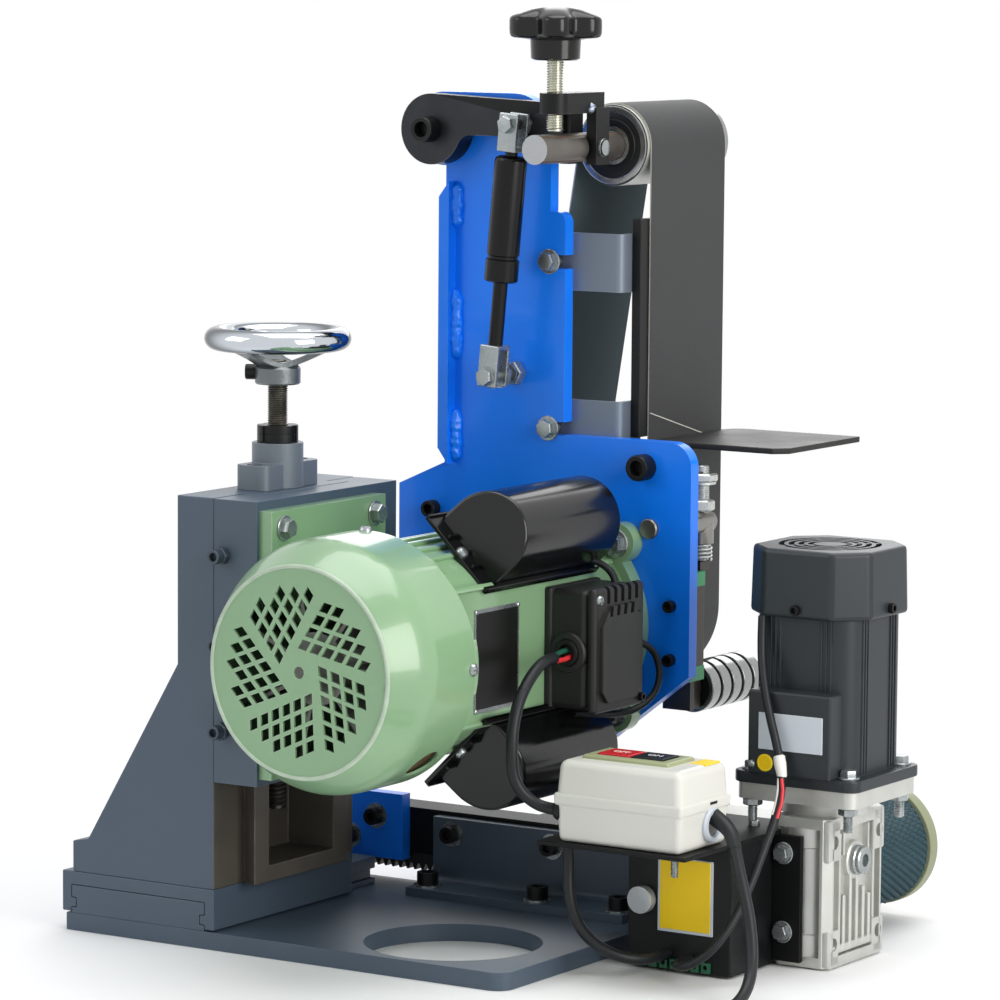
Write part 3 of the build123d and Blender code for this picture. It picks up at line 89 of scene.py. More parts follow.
# %% Hand tools
WELD = 1e-6
FLAT_ANGLE = math.radians(0.2)
FRONT, BACK, LEFT, RIGHT, UP = (0, -1, 0), (0, 1, 0), (-1, 0, 0), (1, 0, 0), (0, 0, 1)


def linked(name, data):
    """A new object in the scene."""
    thing = bpy.data.objects.new(name, data)
    bpy.context.scene.collection.objects.link(thing)
    return thing


def leave_edit():
    bpy.ops.object.mode_set(mode="OBJECT")


def free_hands():
    """Leaves edit mode and lets go of everything."""
    if bpy.context.object and bpy.context.object.mode != "OBJECT":
        leave_edit()
    bpy.ops.object.select_all(action="DESELECT")


def take(piece):
    """Makes one piece the only one in hand."""
    free_hands()
    piece.select_set(True)
    bpy.context.view_layer.objects.active = piece


def edit(piece, kind="VERT", action="SELECT"):
    take(piece)
    bpy.ops.object.mode_set(mode="EDIT")
    bpy.ops.mesh.select_mode(type=kind)
    bpy.ops.mesh.select_all(action=action)


def pick_faces(piece, test):
    """Selects the faces whose centre (in millimetres) and normal pass a test, and opens edit mode."""
    edit(piece, "FACE", "DESELECT")
    leave_edit()
    for face in piece.data.polygons:
        face.select = test(face.center / MM, face.normal)
    bpy.ops.object.mode_set(mode="EDIT")


def apply_modifier(piece, kind, **settings):
    take(piece)
    modifier = piece.modifiers.new(kind.lower(), kind)
    for key, value in settings.items():
        setattr(modifier, key, value)
    bpy.ops.object.modifier_apply(modifier=modifier.name)


def carve(piece, *cutters):
    """Cuts other pieces out of a piece."""
    for cutter in cutters:
        apply_modifier(piece, "BOOLEAN", object=cutter, operation="DIFFERENCE", solver="EXACT")
        bpy.data.objects.remove(cutter)
    return piece


def cut_off(piece, place, facing, fill=True):
    """Cuts a piece with a plane and throws away the side that the plane faces."""
    edit(piece)
    bpy.ops.mesh.bisect(plane_co=Vector(place) * MM, plane_no=facing, use_fill=fill, clear_outer=True)
    leave_edit()


def round_edges(piece, width, segments=2, angle=35):
    """Rounds every edge sharper than the angle, by a width in millimetres."""
    apply_modifier(piece, "BEVEL", width=width * MM, segments=segments, limit_method="ANGLE",
                   angle_limit=math.radians(angle), use_clamp_overlap=True, miter_outer="MITER_ARC")
    return piece


def shade(piece, angle):
    take(piece)
    bpy.ops.object.shade_smooth_by_angle(angle=math.radians(angle))


def block(low, high):
    """A box between two corners in millimetres."""
    free_hands()
    low, high = Vector(low) * MM, Vector(high) * MM
    bpy.ops.mesh.primitive_cube_add(size=1, location=(low + high) / 2)
    piece = bpy.context.object
    piece.scale = high - low
    bpy.ops.object.transform_apply(location=True, rotation=True, scale=True)
    return piece


def soft_block(low, high, width, segments=2):
    return round_edges(block(low, high), width, segments)


def at(place):
    """The shift to a place in millimetres."""
    return Matrix.Translation(Vector(place) * MM)


def towards(direction):
    """The turn that takes Z to a direction."""
    return Vector((0, 0, 1)).rotation_difference(Vector(direction)).to_matrix().to_4x4()


ALONG = {"Z": Matrix.Identity(4), "Y": Matrix.Rotation(-math.pi / 2, 4, "X")}


def set_down(piece, centre, along, twist=0):
    """Turns a piece that was made upright at the origin to an axis and moves it to its centre."""
    turn = ALONG[along] if isinstance(along, str) else towards(along)
    piece.data.transform(at(centre) @ turn @ Matrix.Rotation(math.radians(twist), 4, "Z"))
    return piece


def turned(piece, degrees, centre):
    """Turns a piece about an upright axis through a centre."""
    turn = Matrix.Rotation(math.radians(degrees), 4, "Z")
    piece.data.transform(at(centre) @ turn @ at(-Vector(centre)))
    return piece


def lathe(profile, centre, along="Z", steps=64, twist=0):
    """Turns (radius, height) points: a disc, or a ring where the profile closes, is extruded from point to point."""
    free_hands()
    radius, height = profile[0]
    bpy.ops.mesh.primitive_circle_add(vertices=steps, radius=radius * MM, location=(0, 0, height * MM),
                                      fill_type="NOTHING" if profile[0] == profile[-1] else "NGON")
    piece = bpy.context.object
    bpy.ops.object.transform_apply(location=True, rotation=True, scale=True)
    edit(piece)
    for next_radius, next_height in profile[1:]:
        lift = (0, 0, (next_height - height) * MM)
        bpy.ops.mesh.extrude_region_move(TRANSFORM_OT_translate={"value": lift})
        share = next_radius / radius
        bpy.ops.transform.resize(value=(share, share, 1), center_override=(0, 0, next_height * MM))
        radius, height = next_radius, next_height
    bpy.ops.mesh.select_all(action="SELECT")
    bpy.ops.mesh.remove_doubles(threshold=WELD)
    bpy.ops.mesh.normals_make_consistent(inside=False)
    leave_edit()
    return set_down(piece, centre, along, twist)


AXES = {"Z": (0, 1, 2), "Y": (0, 2, 1), "X": (2, 0, 1)}


def sheet_metal(points, near, far, facing="Z"):
    """A flat outline of points, cut from a disc and pulled from near to far along an axis."""
    free_hands()
    bpy.ops.mesh.primitive_circle_add(vertices=len(points), radius=MM, fill_type="NGON")
    piece = bpy.context.object
    for corner, (u, v) in zip(piece.data.vertices, points):
        corner.co = Vector((u, v, near)) * MM
    edit(piece)
    bpy.ops.mesh.extrude_region_move(TRANSFORM_OT_translate={"value": (0, 0, (far - near) * MM)})
    bpy.ops.mesh.select_all(action="SELECT")
    bpy.ops.mesh.normals_make_consistent(inside=False)
    leave_edit()
    for corner in piece.data.vertices:
        corner.co = Vector([corner.co[index] for index in AXES[facing]])
    if facing == "Y":
        edit(piece)
        bpy.ops.mesh.flip_normals()
        leave_edit()
    return piece


def join(*pieces):
    """Several pieces become one mesh."""
    free_hands()
    for piece in pieces:
        piece.select_set(True)
    bpy.context.view_layer.objects.active = pieces[0]
    bpy.ops.object.join()
    return pieces[0]


def finished(piece, name, look, body, slot, stands_for=(), angle=32):
    """Names a piece, or several that become one, gives it its finish and lets it ride on its body."""
    if isinstance(piece, list):
        piece = join(*piece)
    shade(piece, angle)
    apply_modifier(piece, "WEIGHTED_NORMAL", keep_sharp=True)
    piece.name = name
    piece.data.name = name
    piece.data.materials.clear()
    piece.data.materials.append(looks[look])
    piece.data.update()
    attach(piece, body)
    if stands_for:
        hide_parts(*stands_for)
    print(name, "faces", len(piece.data.polygons))
    return piece


def node_copy(node, name):
    """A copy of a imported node, open in edit mode with its corners welded."""
    piece = linked(name, nodes[node].data.copy())
    edit(piece)
    bpy.ops.mesh.remove_doubles(threshold=WELD)
    return piece


def soften(node, width, look, segments=2):
    """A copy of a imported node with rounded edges, which stands for it."""
    piece = node_copy(node, node + "_dressed")
    bpy.ops.mesh.dissolve_limited(angle_limit=FLAT_ANGLE)
    leave_edit()
    if width:
        round_edges(piece, width, segments)
    slot = next(item["material_slot"] for item in frame["record"]["subparts"] if item["node"] == node)
    return finished(piece, node + "_dressed", look, nodes[node]["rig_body"], slot, [node])


def soften_each(*rows):
    for row in rows:
        soften(*row)


def paint_faces(piece, look, test):
    """Gives another finish to the faces whose centre (in millimetres) and normal pass a test."""
    piece.data.materials.append(looks[look])
    chosen = [face for face in piece.data.polygons if test(face.center / MM, face.normal)]
    for face in chosen:
        face.material_index = len(piece.data.materials) - 1
    print(piece.name, "faces in", look, len(chosen))


print("hand tools ready")

# %% [markdown]
# ## The camera
# The view is a long lens some three metres away, turned a third of a right angle round the machine and a
# little above it. One corner of the base plate is tied to its pixel, and everything else follows.

# %% Camera
VIEW_AZIMUTH = math.radians(32.65)
VIEW_ELEVATION = math.radians(6.56)
VIEW_ROLL = math.radians(0.42)
SENSOR = 36.0
LENS = 172.69
FRAME_PIXELS = 1000
CORNER_PIXEL = (503.5, 992.7)
CORNER_DISTANCE = 3.1


def photo_camera():
    """A camera that sees the base plate's near corner at its pixel."""
    sin_a, cos_a = math.sin(VIEW_AZIMUTH), math.cos(VIEW_AZIMUTH)
    sin_e, cos_e = math.sin(VIEW_ELEVATION), math.cos(VIEW_ELEVATION)
    back = Vector((sin_a * cos_e, -cos_a * cos_e, sin_e))
    level = Vector((cos_a, sin_a, 0))
    upright = back.cross(level)
    right = level * math.cos(VIEW_ROLL) + upright * math.sin(VIEW_ROLL)
    up = upright * math.cos(VIEW_ROLL) - level * math.sin(VIEW_ROLL)
    turn = Matrix((right, up, back)).transposed()
    focal = FRAME_PIXELS * LENS / SENSOR
    across, down = [(pixel - FRAME_PIXELS / 2) / focal for pixel in CORNER_PIXEL]
    low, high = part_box("base_plate")
    corner = Vector((high.x, low.y, low.z))
    data = bpy.data.cameras.new("photo_camera")
    data.sensor_width = SENSOR
    data.lens = LENS
    data.clip_end = 50
    camera = linked("photo_camera", data)
    place = corner - CORNER_DISTANCE * (turn @ Vector((across, -down, -1)))
    camera.matrix_world = Matrix.Translation(place) @ turn.to_4x4()
    bpy.context.scene.camera = camera
    print("camera at", [round(v, 2) for v in place])


photo_camera()

# %% [markdown]
# ## Shared surface detail
# Real finishes are never one flat colour. One shader group gives them all their small faults: a slow drift of
# tone, a fine grain for the bump, patches that shine more or less, and rubbed edges, which a Bevel node finds by
# comparing the rounded normal with the true one.

# %% Node groups


def set_values(node, values):
    for socket, value in values.items():
        node.inputs[socket].default_value = value


def add(tree, kind, values=None, **settings):
    """A shader node with its settings and the values of its sockets."""
    node = tree.nodes.new("ShaderNode" + kind)
    for key, value in settings.items():
        setattr(node, key, value)
    set_values(node, values or {})
    return node


def wire(tree, *links):
    """Each link is a node and its output, then a node and its input."""
    for source, out, target, into in links:
        tree.links.new(source.outputs[out], target.inputs[into])


def new_group(name, inputs, outputs):
    """A node group with the named sockets, and the nodes that hold its inputs and outputs."""
    tree = bpy.data.node_groups.new(name, "ShaderNodeTree")
    for way, sockets in (("INPUT", inputs), ("OUTPUT", outputs)):
        for label, kind in sockets.items():
            tree.interface.new_socket(label, in_out=way, socket_type="NodeSocket" + kind)
    return tree, tree.nodes.new("NodeGroupInput"), tree.nodes.new("NodeGroupOutput")


def surface_detail_group():
    tree, given, result = new_group(
        "surface_detail",
        {"Colour": "Color", "Tone": "Float", "Tone scale": "Float", "Rub colour": "Color", "Rub": "Float",
         "Rub width": "Float", "Roughness": "Float", "Spread": "Float", "Grain scale": "Float"},
        {"Colour": "Color", "Roughness": "Float", "Height": "Float"})
    place = add(tree, "TexCoord")
    drift = add(tree, "TexNoise", {"Detail": 5.0})
    grain = add(tree, "TexNoise", {"Detail": 3.0})
    swing = add(tree, "Math", {1: 0.5}, operation="SUBTRACT")
    tone = add(tree, "Math", {2: 1.0}, operation="MULTIPLY_ADD")
    toned = add(tree, "VectorMath", operation="SCALE")
    edge = add(tree, "Bevel", samples=4)
    true_normal = add(tree, "NewGeometry")
    match = add(tree, "VectorMath", operation="DOT_PRODUCT")
    off = add(tree, "MapRange", {"From Min": 0.985, "From Max": 0.90})
    broken = add(tree, "MapRange", {"From Min": 0.42, "From Max": 0.62})
    rubbed = add(tree, "Math", operation="MULTIPLY")
    mask = add(tree, "Math", operation="MULTIPLY", use_clamp=True)
    mixed = add(tree, "Mix", data_type="RGBA")
    shine = add(tree, "Math", operation="MULTIPLY_ADD", use_clamp=True)
    wire(tree, (place, "Object", drift, "Vector"), (given, "Tone scale", drift, "Scale"),
         (place, "Object", grain, "Vector"), (given, "Grain scale", grain, "Scale"),
         (drift, "Fac", swing, 0), (swing, 0, tone, 0), (given, "Tone", tone, 1),
         (given, "Colour", toned, 0), (tone, 0, toned, "Scale"),
         (given, "Rub width", edge, "Radius"), (edge, 0, match, 0), (true_normal, "Normal", match, 1),
         (match, "Value", off, "Value"), (drift, "Fac", broken, "Value"), (off, "Result", rubbed, 0),
         (broken, "Result", rubbed, 1), (rubbed, 0, mask, 0), (given, "Rub", mask, 1),
         (mask, 0, mixed, "Factor"), (toned, 0, mixed, "A"), (given, "Rub colour", mixed, "B"),
         (mixed, "Result", result, "Colour"), (swing, 0, shine, 0), (given, "Spread", shine, 1),
         (given, "Roughness", shine, 2), (shine, 0, result, "Roughness"), (grain, "Fac", result, "Height"))
    return tree


SURFACE_DETAIL = surface_detail_group()
print("group sockets", len(SURFACE_DETAIL.interface.items_tree))

# %% [markdown]
# ## Finishes
# Colours are written as they look on a screen and turned into the linear values that the shader wants.
# Enamel has an orange-peel bump and a clear coat, black oxide is dull and rubs to grey along its edges, and
# castings are grainy. One row of the table holds one finish.

# %% Finish helpers
COAT_ROUGHNESS = 0.08


def linear(code):
    """A screen colour such as 4a5866 as linear red, green and blue with alpha."""
    values = [int(code[index:index + 2], 16) / 255 for index in (0, 2, 4)]
    return tuple(v / 12.92 if v <= 0.04045 else ((v + 0.055) / 1.055) ** 2.4 for v in values) + (1.0,)


def blank_material(name, values):
    """A material, its tree and its shader, with plain values on the shader's own sockets."""
    material = bpy.data.materials.new(name)
    material.use_nodes = True
    shader = material.node_tree.nodes["Principled BSDF"]
    set_values(shader, values)
    return material, material.node_tree, shader


def bumped(tree, shader, source, out, strength, depth):
    """Feeds a height to the shader's normal; depth is in millimetres."""
    bump = add(tree, "Bump", {"Strength": strength, "Distance": depth * MM})
    wire(tree, (source, out, bump, "Height"), (bump, "Normal", shader, "Normal"))


def finish(name, colour, roughness, metallic, specular, coat, tone, tone_scale, spread, rub, rub_colour,
           grain, bump, depth, rub_width=1.0):
    """A material with the shared detail and its own values."""
    material, tree, shader = blank_material(name, {
        "Metallic": metallic, "Coat Weight": coat, "Coat Roughness": COAT_ROUGHNESS, "Specular IOR Level": specular})
    detail = add(tree, "Group", {
        "Colour": linear(colour), "Tone": tone, "Tone scale": tone_scale, "Rub colour": linear(rub_colour),
        "Rub": rub, "Rub width": rub_width * MM, "Roughness": roughness, "Spread": spread,
        "Grain scale": grain}, node_tree=SURFACE_DETAIL)
    wire(tree, (detail, "Colour", shader, "Base Color"), (detail, "Roughness", shader, "Roughness"))
    bumped(tree, shader, detail, "Height", bump, depth)
    return material


print("middle grey as a linear value", round(linear("808080")[0], 3))

# %% Table of finishes
# colour, roughness, metallic, specular, coat, tone, tone scale, spread, rub, rub colour, grain scale, bump, depth
# and, where it is not 1 mm, the width of the rub
FINISHES = {
    "grey_enamel": ("455362", 0.44, 0, 0.5, 0, 0.18, 14, 0.12, 0.35, "8d98a3", 900, 0.1, 0.2),
    "bearing_grey": ("6e7780", 0.46, 0.2, 0.5, 0, 0.25, 60, 0.12, 0.5, "a9a79c", 700, 0.25, 0.3),
    "blue_enamel": ("067af8", 0.34, 0, 0.35, 0.2, 0.14, 18, 0.12, 0.45, "4f9bff", 700, 0.08, 0.2),
    "green_enamel": ("82a67e", 0.3, 0, 0.5, 0.6, 0.08, 16, 0.12, 0.5, "d5e4d4", 260, 0.03, 0.2),
    "graphite_enamel": ("242a2e", 0.4, 0, 0.4, 0, 0.16, 20, 0.12, 0.35, "5c6166", 1400, 0.1, 0.2),
    "black_powder": ("08090a", 0.5, 0, 0.22, 0, 0.25, 30, 0.12, 0.35, "3a3936", 1800, 0.16, 0.2),
    "table_black": ("1a1918", 0.5, 0, 0.35, 0, 0.4, 22, 0.3, 0.6, "77736e", 900, 0.08, 0.2),
    "bracket_grey": ("707a87", 0.42, 0.35, 0.5, 0, 0.14, 30, 0.12, 0.4, "a6adb6", 500, 0.06, 0.2),
    "painted_screw": ("3f4953", 0.4, 0.3, 0.5, 0, 0.2, 30, 0.12, 0.5, "77828c", 500, 0.08, 0.2),
    "black_oxide": ("0e0f10", 0.4, 0.2, 0.3, 0, 0.3, 30, 0.12, 0.5, "4a4a49", 500, 0.1, 0.2),
    "arm_black": ("101112", 0.4, 0.3, 0.3, 0, 0.5, 26, 0.3, 0.6, "5d5a56", 500, 0.12, 0.2),
    # the next row is the machined boss of the arm, and also painted shade on the idler roller's near end
    "machined_grey": ("303236", 0.36, 0.6, 0.3, 0, 0.5, 60, 0.25, 0.6, "8a8b8c", 1500, 0.12, 0.2),
    "scaled_steel": ("4a4743", 0.44, 0.7, 0.5, 0, 0.5, 45, 0.25, 0.6, "8f8f8d", 500, 0.14, 0.2),
    "scaled_bar": ("6b6762", 0.42, 0.75, 0.5, 0, 0.6, 70, 0.3, 0.5, "a9a6a1", 1300, 0.22, 0.2),
    "rusty_bar": ("5d4030", 0.62, 0.3, 0.5, 0, 0.6, 160, 0.2, 0, "9a9c9e", 1800, 0.25, 0.2),
    "oiled_iron": ("58534c", 0.44, 0.2, 0.5, 0, 0.5, 40, 0.3, 0.5, "8f8a80", 1100, 0.14, 0.2),
    "dark_thread": ("4d4a44", 0.4, 0.7, 0.5, 0, 0.4, 90, 0.12, 0.6, "9b968c", 500, 0.1, 0.2),
    "bare_steel": ("8f8e8a", 0.36, 0.9, 0.5, 0, 0.35, 60, 0.3, 0.4, "c4c4c0", 1500, 0.1, 0.2),
    "zinc_plate": ("9fa5a6", 0.26, 0.8, 0.5, 0, 0.35, 140, 0.3, 0.5, "e2e5e5", 1200, 0.06, 0.2),
    "zinc_yellow": ("c6c6bb", 0.26, 0.85, 0.5, 0, 0.3, 120, 0.25, 0.5, "eceada", 500, 0.06, 0.2),
    "rough_casting": ("6f7476", 0.38, 0.7, 0.5, 0, 0.5, 60, 0.3, 0.5, "b9bcbc", 420, 0.45, 0.5),
    "race_steel": ("9a9c9b", 0.2, 0.85, 0.5, 0, 0.2, 120, 0.1, 0.3, "d8d8d6", 500, 0.02, 0.2),
    "cast_aluminium": ("c6c7c2", 0.38, 0.6, 0.5, 0, 0.32, 50, 0.25, 0.6, "ececea", 900, 0.3, 0.3),
    "weld_blue": ("7d8794", 0.3, 0.8, 0.5, 0, 0.4, 200, 0.3, 0.3, "9a9c9e", 500, 0.15, 0.2),
    "far_rim": ("8c9173", 0.42, 0.1, 0.5, 0, 0.15, 30, 0.12, 0.4, "b7b99c", 500, 0.08, 0.2),
    "black_gloss": ("0a0b0c", 0.2, 0, 0.35, 0.15, 0.2, 30, 0.12, 0.15, "2c2e32", 220, 0.03, 0.2),
    "spring_black": ("09090a", 0.24, 0, 0.25, 0, 0.2, 30, 0.12, 0.3, "353535", 600, 0.03, 0.2),
    "rod_black": ("0c0c0e", 0.24, 0.1, 0.25, 0, 0.2, 30, 0.12, 0.2, "38373c", 600, 0.03, 0.2),
    "knob_gloss": ("0c0b0c", 0.2, 0, 0.3, 0.15, 0.2, 30, 0.12, 0.2, "3a393a", 240, 0.04, 0.2),
    "black_moulding": ("242524", 0.48, 0, 0.3, 0, 0.2, 30, 0.12, 0.4, "5c5d5a", 2600, 0.2, 0.15),
    "black_satin": ("0c0e0f", 0.42, 0, 0.25, 0, 0.2, 30, 0.12, 0.3, "404141", 1800, 0.1, 0.2),
    "black_rubber": ("0f1011", 0.5, 0, 0.3, 0, 0.2, 30, 0.12, 0.2, "3a3c40", 900, 0.1, 0.2),
    "key_black": ("0f0f0f", 0.4, 0, 0.3, 0, 0.15, 30, 0.12, 0.2, "4a4b4a", 500, 0.05, 0.2),
    "cream_plastic": ("dad9d2", 0.34, 0, 0.5, 0, 0.05, 18, 0.12, 0.25, "f0efe9", 1600, 0.06, 0.2),
    "olive_plastic": ("a3a982", 0.36, 0, 0.5, 0, 0.1, 30, 0.12, 0.4, "ccd0b4", 500, 0.06, 0.2),
    "red_plastic": ("d0202a", 0.28, 0, 0.5, 0, 0.1, 30, 0.12, 0.2, "e86a66", 500, 0.05, 0.2),
    "cable_sheath": ("1a1d20", 0.42, 0, 0.3, 0, 0.25, 30, 0.12, 0, "9a9c9e", 1400, 0.12, 0.2),
    "yellow_wrap": ("fcd400", 0.42, 0, 0.35, 0, 0.06, 30, 0.12, 0.2, "f6e88a", 500, 0.04, 0.2),
    # the next row is a lighter, less metallic copy of zinc_plate, so that the support stud and spring stay bright in
    # the shade between the plates: painted light
    "zinc_bright": ("c6c9c7", 0.3, 0.45, 0.5, 0, 0.35, 140, 0.3, 0.5, "eef0ee", 500, 0.06, 0.2),
    "pale_edge": ("aebfaa", 0.4, 0, 0.5, 0, 0.5, 90, 0.12, 0, "9a9c9e", 500, 0.08, 0.2),
    "white_label": ("c8d0d8", 0.36, 0, 0.5, 0, 0.06, 30, 0.12, 0, "9a9c9e", 500, 0.03, 0.2),
    "dial_silver": ("b4b9bd", 0.32, 0.6, 0.5, 0, 0.1, 30, 0.12, 0.3, "dfe2e4", 500, 0.04, 0.2),
    "green_cap": ("2f9c62", 0.4, 0, 0.5, 0, 0.14, 30, 0.12, 0.3, "84c7a0", 500, 0.08, 0.2),
    "green_dark": ("1d5c40", 0.4, 0, 0.5, 0, 0.14, 30, 0.12, 0.3, "5b9a7c", 500, 0.06, 0.2),
    "red_wire": ("d8323a", 0.35, 0, 0.5, 0, 0.1, 30, 0.12, 0, "9a9c9e", 500, 0.04, 0.2),
    "green_wire": ("1f5c46", 0.35, 0, 0.5, 0, 0.1, 30, 0.12, 0, "9a9c9e", 500, 0.04, 0.2),
    "white_letter": ("e8e6e0", 0.45, 0, 0.5, 0, 0.05, 30, 0.12, 0, "9a9c9e", 500, 0.02, 0.2),
    "teal_rubber": ("0d353f", 0.56, 0, 0.5, 0, 0.25, 60, 0.12, 0.4, "32666f", 1200, 0.15, 0.2, 0.8),
    "brown_cork": ("4a3418", 0.6, 0, 0.5, 0, 0.4, 120, 0.12, 0, "9a9c9e", 500, 0.2, 0.2),
    "dark_field": ("1f211f", 0.34, 0.4, 0.5, 0, 0.2, 30, 0.12, 0.2, "66675f", 500, 0.04, 0.2),
    "cut_edge": ("b5b1a8", 0.7, 0, 0.5, 0, 0.5, 400, 0.12, 0, "9a9c9e", 500, 0.1, 0.2),
    "pale_splice": ("c9c6be", 0.7, 0, 0.5, 0, 0.6, 500, 0.12, 0, "9a9c9e", 500, 0.1, 0.2),
}
looks = {name: finish(name, *row) for name, row in FINISHES.items()}
print("finishes in the table", len(looks))

# %% [markdown]
# ## Grit, weave, saw marks and plating
# Four surfaces need a pattern of their own. Abrasive is a dense grain with a few bright specks, the cloth behind it
# is a plain weave of crossed waves, a sawn bar end has fine slanting lines, and bright plating gets a painted
# reflection: its colour darkens from the facing colour towards its outline, as a dark room would mirror in it.

# %% Patterned finishes


def weave_group():
    """Crossed bands in Y and Z: a height and a mask between warp and weft."""
    tree, given, result = new_group("weave", {"Scale": "Float"}, {"Height": "Float", "Mask": "Float"})
    place = add(tree, "TexCoord")
    high = add(tree, "Math", operation="MAXIMUM")
    mask = add(tree, "Math", operation="MULTIPLY")
    for index, direction in enumerate("YZ"):
        wave = add(tree, "TexWave", {"Distortion": 0.6}, wave_type="BANDS", bands_direction=direction)
        wire(tree, (place, "Object", wave, "Vector"), (given, "Scale", wave, "Scale"),
             (wave, "Fac", high, index), (wave, "Fac", mask, index))
    wire(tree, (high, 0, result, "Height"), (mask, 0, result, "Mask"))
    return tree


def two_tone(tree, first, second):
    return add(tree, "Mix", {"A": linear(first), "B": linear(second)}, data_type="RGBA")


def speckled(name, colour, speck, scale, low, high, roughness, bump, depth):
    """A base colour with specks of another, from a fine noise, and a slow change of shade."""
    material, tree, shader = blank_material(name, {"Roughness": roughness})
    place = add(tree, "TexCoord")
    noise = add(tree, "TexNoise", {"Scale": scale, "Detail": 4.0})
    slow = add(tree, "TexNoise", {"Scale": 9.0})
    ramp = add(tree, "MapRange", {"From Min": low, "From Max": high})
    tone = add(tree, "MapRange", {"To Min": 0.80, "To Max": 1.20})
    mix = two_tone(tree, colour, speck)
    toned = add(tree, "VectorMath", operation="SCALE")
    wire(tree, (place, "Object", noise, "Vector"), (place, "Object", slow, "Vector"), (noise, "Fac", ramp, "Value"),
         (ramp, "Result", mix, "Factor"), (slow, "Fac", tone, "Value"), (mix, "Result", toned, 0),
         (tone, "Result", toned, "Scale"), (toned, 0, shader, "Base Color"))
    bumped(tree, shader, noise, "Fac", bump, depth)
    return material


def woven(name, dark, pale, scale):
    material, tree, shader = blank_material(name, {"Roughness": 0.8})
    cloth = add(tree, "Group", {"Scale": scale}, node_tree=WEAVE)
    mix = two_tone(tree, dark, pale)
    wire(tree, (cloth, "Mask", mix, "Factor"), (mix, "Result", shader, "Base Color"))
    bumped(tree, shader, cloth, "Height", 0.4, 0.2)
    return material


def sawn(name, dark, pale):
    """Slanting saw lines with bright and dull patches."""
    material, tree, shader = blank_material(name, {"Roughness": 0.38, "Metallic": 0.7})
    place = add(tree, "TexCoord")
    turn = add(tree, "Mapping", {"Rotation": (0, math.radians(35), 0)})
    wave = add(tree, "TexWave", {"Scale": 330.0, "Distortion": 5.0, "Detail": 3.0},
               wave_type="BANDS", bands_direction="Z")
    mix = two_tone(tree, dark, pale)
    wire(tree, (place, "Object", turn, "Vector"), (turn, "Vector", wave, "Vector"), (wave, "Fac", mix, "Factor"),
         (mix, "Result", shader, "Base Color"))
    bumped(tree, shader, wave, "Fac", 0.5, 0.2)
    return material


def plated_painted_reflection(name, facing, outline_painted_reflection, roughness):
    material, tree, shader = blank_material(name, {"Roughness": roughness, "Metallic": 1.0})
    # Layer Weight darkens the base colour towards the outline: a painted reflection of a dark room, not a colour of the
    # metal
    edge = add(tree, "LayerWeight", {"Blend": 0.45})
    painted_reflection_band = add(tree, "MapRange", {"From Min": 0.25, "From Max": 0.75}, interpolation_type="SMOOTHSTEP")
    mix = two_tone(tree, facing, outline_painted_reflection)
    wire(tree, (edge, "Facing", painted_reflection_band, "Value"), (painted_reflection_band, "Result", mix, "Factor"),
         (mix, "Result", shader, "Base Color"))
    return material


WEAVE = weave_group()
looks["chrome_plate"] = plated_painted_reflection("chrome_plate", "c9cfd5", "3a4046", 0.09)
looks["abrasive_grit"] = speckled("abrasive_grit", "2b2c2d", "464749", 2600.0, 0.50, 0.72, 0.66, 0.5, 0.2)
looks["belt_cloth"] = woven("belt_cloth", "36454a", "5b7076", 420.0)
looks["sawn_steel"] = sawn("sawn_steel", "7c7d80", "b6b7ba")
print("finishes", len(looks))

# %% [markdown]
# ## Light and floor
# Four large soft lamps stand round the machine, cooler on the operator's side and warmer on the right, as a bright
# day through workshop windows would be. The floor is pale and keeps the shadow close to the machine. Further out,
# rays from the camera and from shiny pieces see plain white, so that the background has no horizon.

# %% Studio
LAMPS = {
    "window": ((-1.6, -1.9, 1.7), (1.6, 1.6), 18.0, (0.92, 0.97, 1.0)),
    "right_fill": ((2.45, -0.5, 0.95), (1.3, 1.6), 38.0, (1.0, 0.98, 0.945)),
    "overhead": ((0.3, 0.2, 2.3), (1.8, 1.8), 34.0, (1.0, 1.0, 1.0)),
    "behind": ((-0.6, 2.0, 1.2), (1.6, 1.2), 12.0, (1.0, 1.0, 1.0)),
}
AIM = Vector((0.1, 0.0, 0.28))
WHITE = (1.0, 1.0, 1.0, 1.0)
SKY, SKY_STRENGTH = (0.94, 0.97, 1.0, 1.0), 0.40
FLOOR_COLOUR, FLOOR_SIZE, FLOOR_Z = (0.94, 0.94, 0.94, 1.0), 12, -0.0002
SHADOW_MIDDLE, SHADOW_FULL, SHADOW_GONE = (0.07, 0.0, 0.0), 0.22, 0.75


def studio():
    for name, (place, size, power, colour) in LAMPS.items():
        data = bpy.data.lights.new(name, "AREA")
        data.shape = "RECTANGLE"
        data.size, data.size_y = size
        data.energy = power
        data.color = colour
        lamp = linked(name, data)
        lamp.location = place
        lamp.rotation_mode = "QUATERNION"
        lamp.rotation_quaternion = (AIM - Vector(place)).to_track_quat("-Z", "Y")


def seen_rays(tree):
    """A node whose value is one where a ray comes from the camera, a shiny piece or glass."""
    ray = add(tree, "LightPath")
    first = add(tree, "Math", operation="MAXIMUM")
    second = add(tree, "Math", operation="MAXIMUM")
    wire(tree, (ray, "Is Camera Ray", first, 0), (ray, "Is Transmission Ray", first, 1), (first, 0, second, 0),
         (ray, "Is Glossy Ray", second, 1))
    return second


def white_surroundings():
    world = bpy.data.worlds.new("surroundings")
    bpy.context.scene.world = world
    world.use_nodes = True
    tree = world.node_tree
    soft = tree.nodes["Background"]
    set_values(soft, {"Color": SKY, "Strength": SKY_STRENGTH})
    white = add(tree, "Background", {"Color": WHITE, "Strength": 1.0})
    mix = add(tree, "MixShader")
    wire(tree, (seen_rays(tree), 0, mix, 0), (soft, 0, mix, 1), (white, 0, mix, 2),
         (mix, 0, tree.nodes["World Output"], "Surface"))


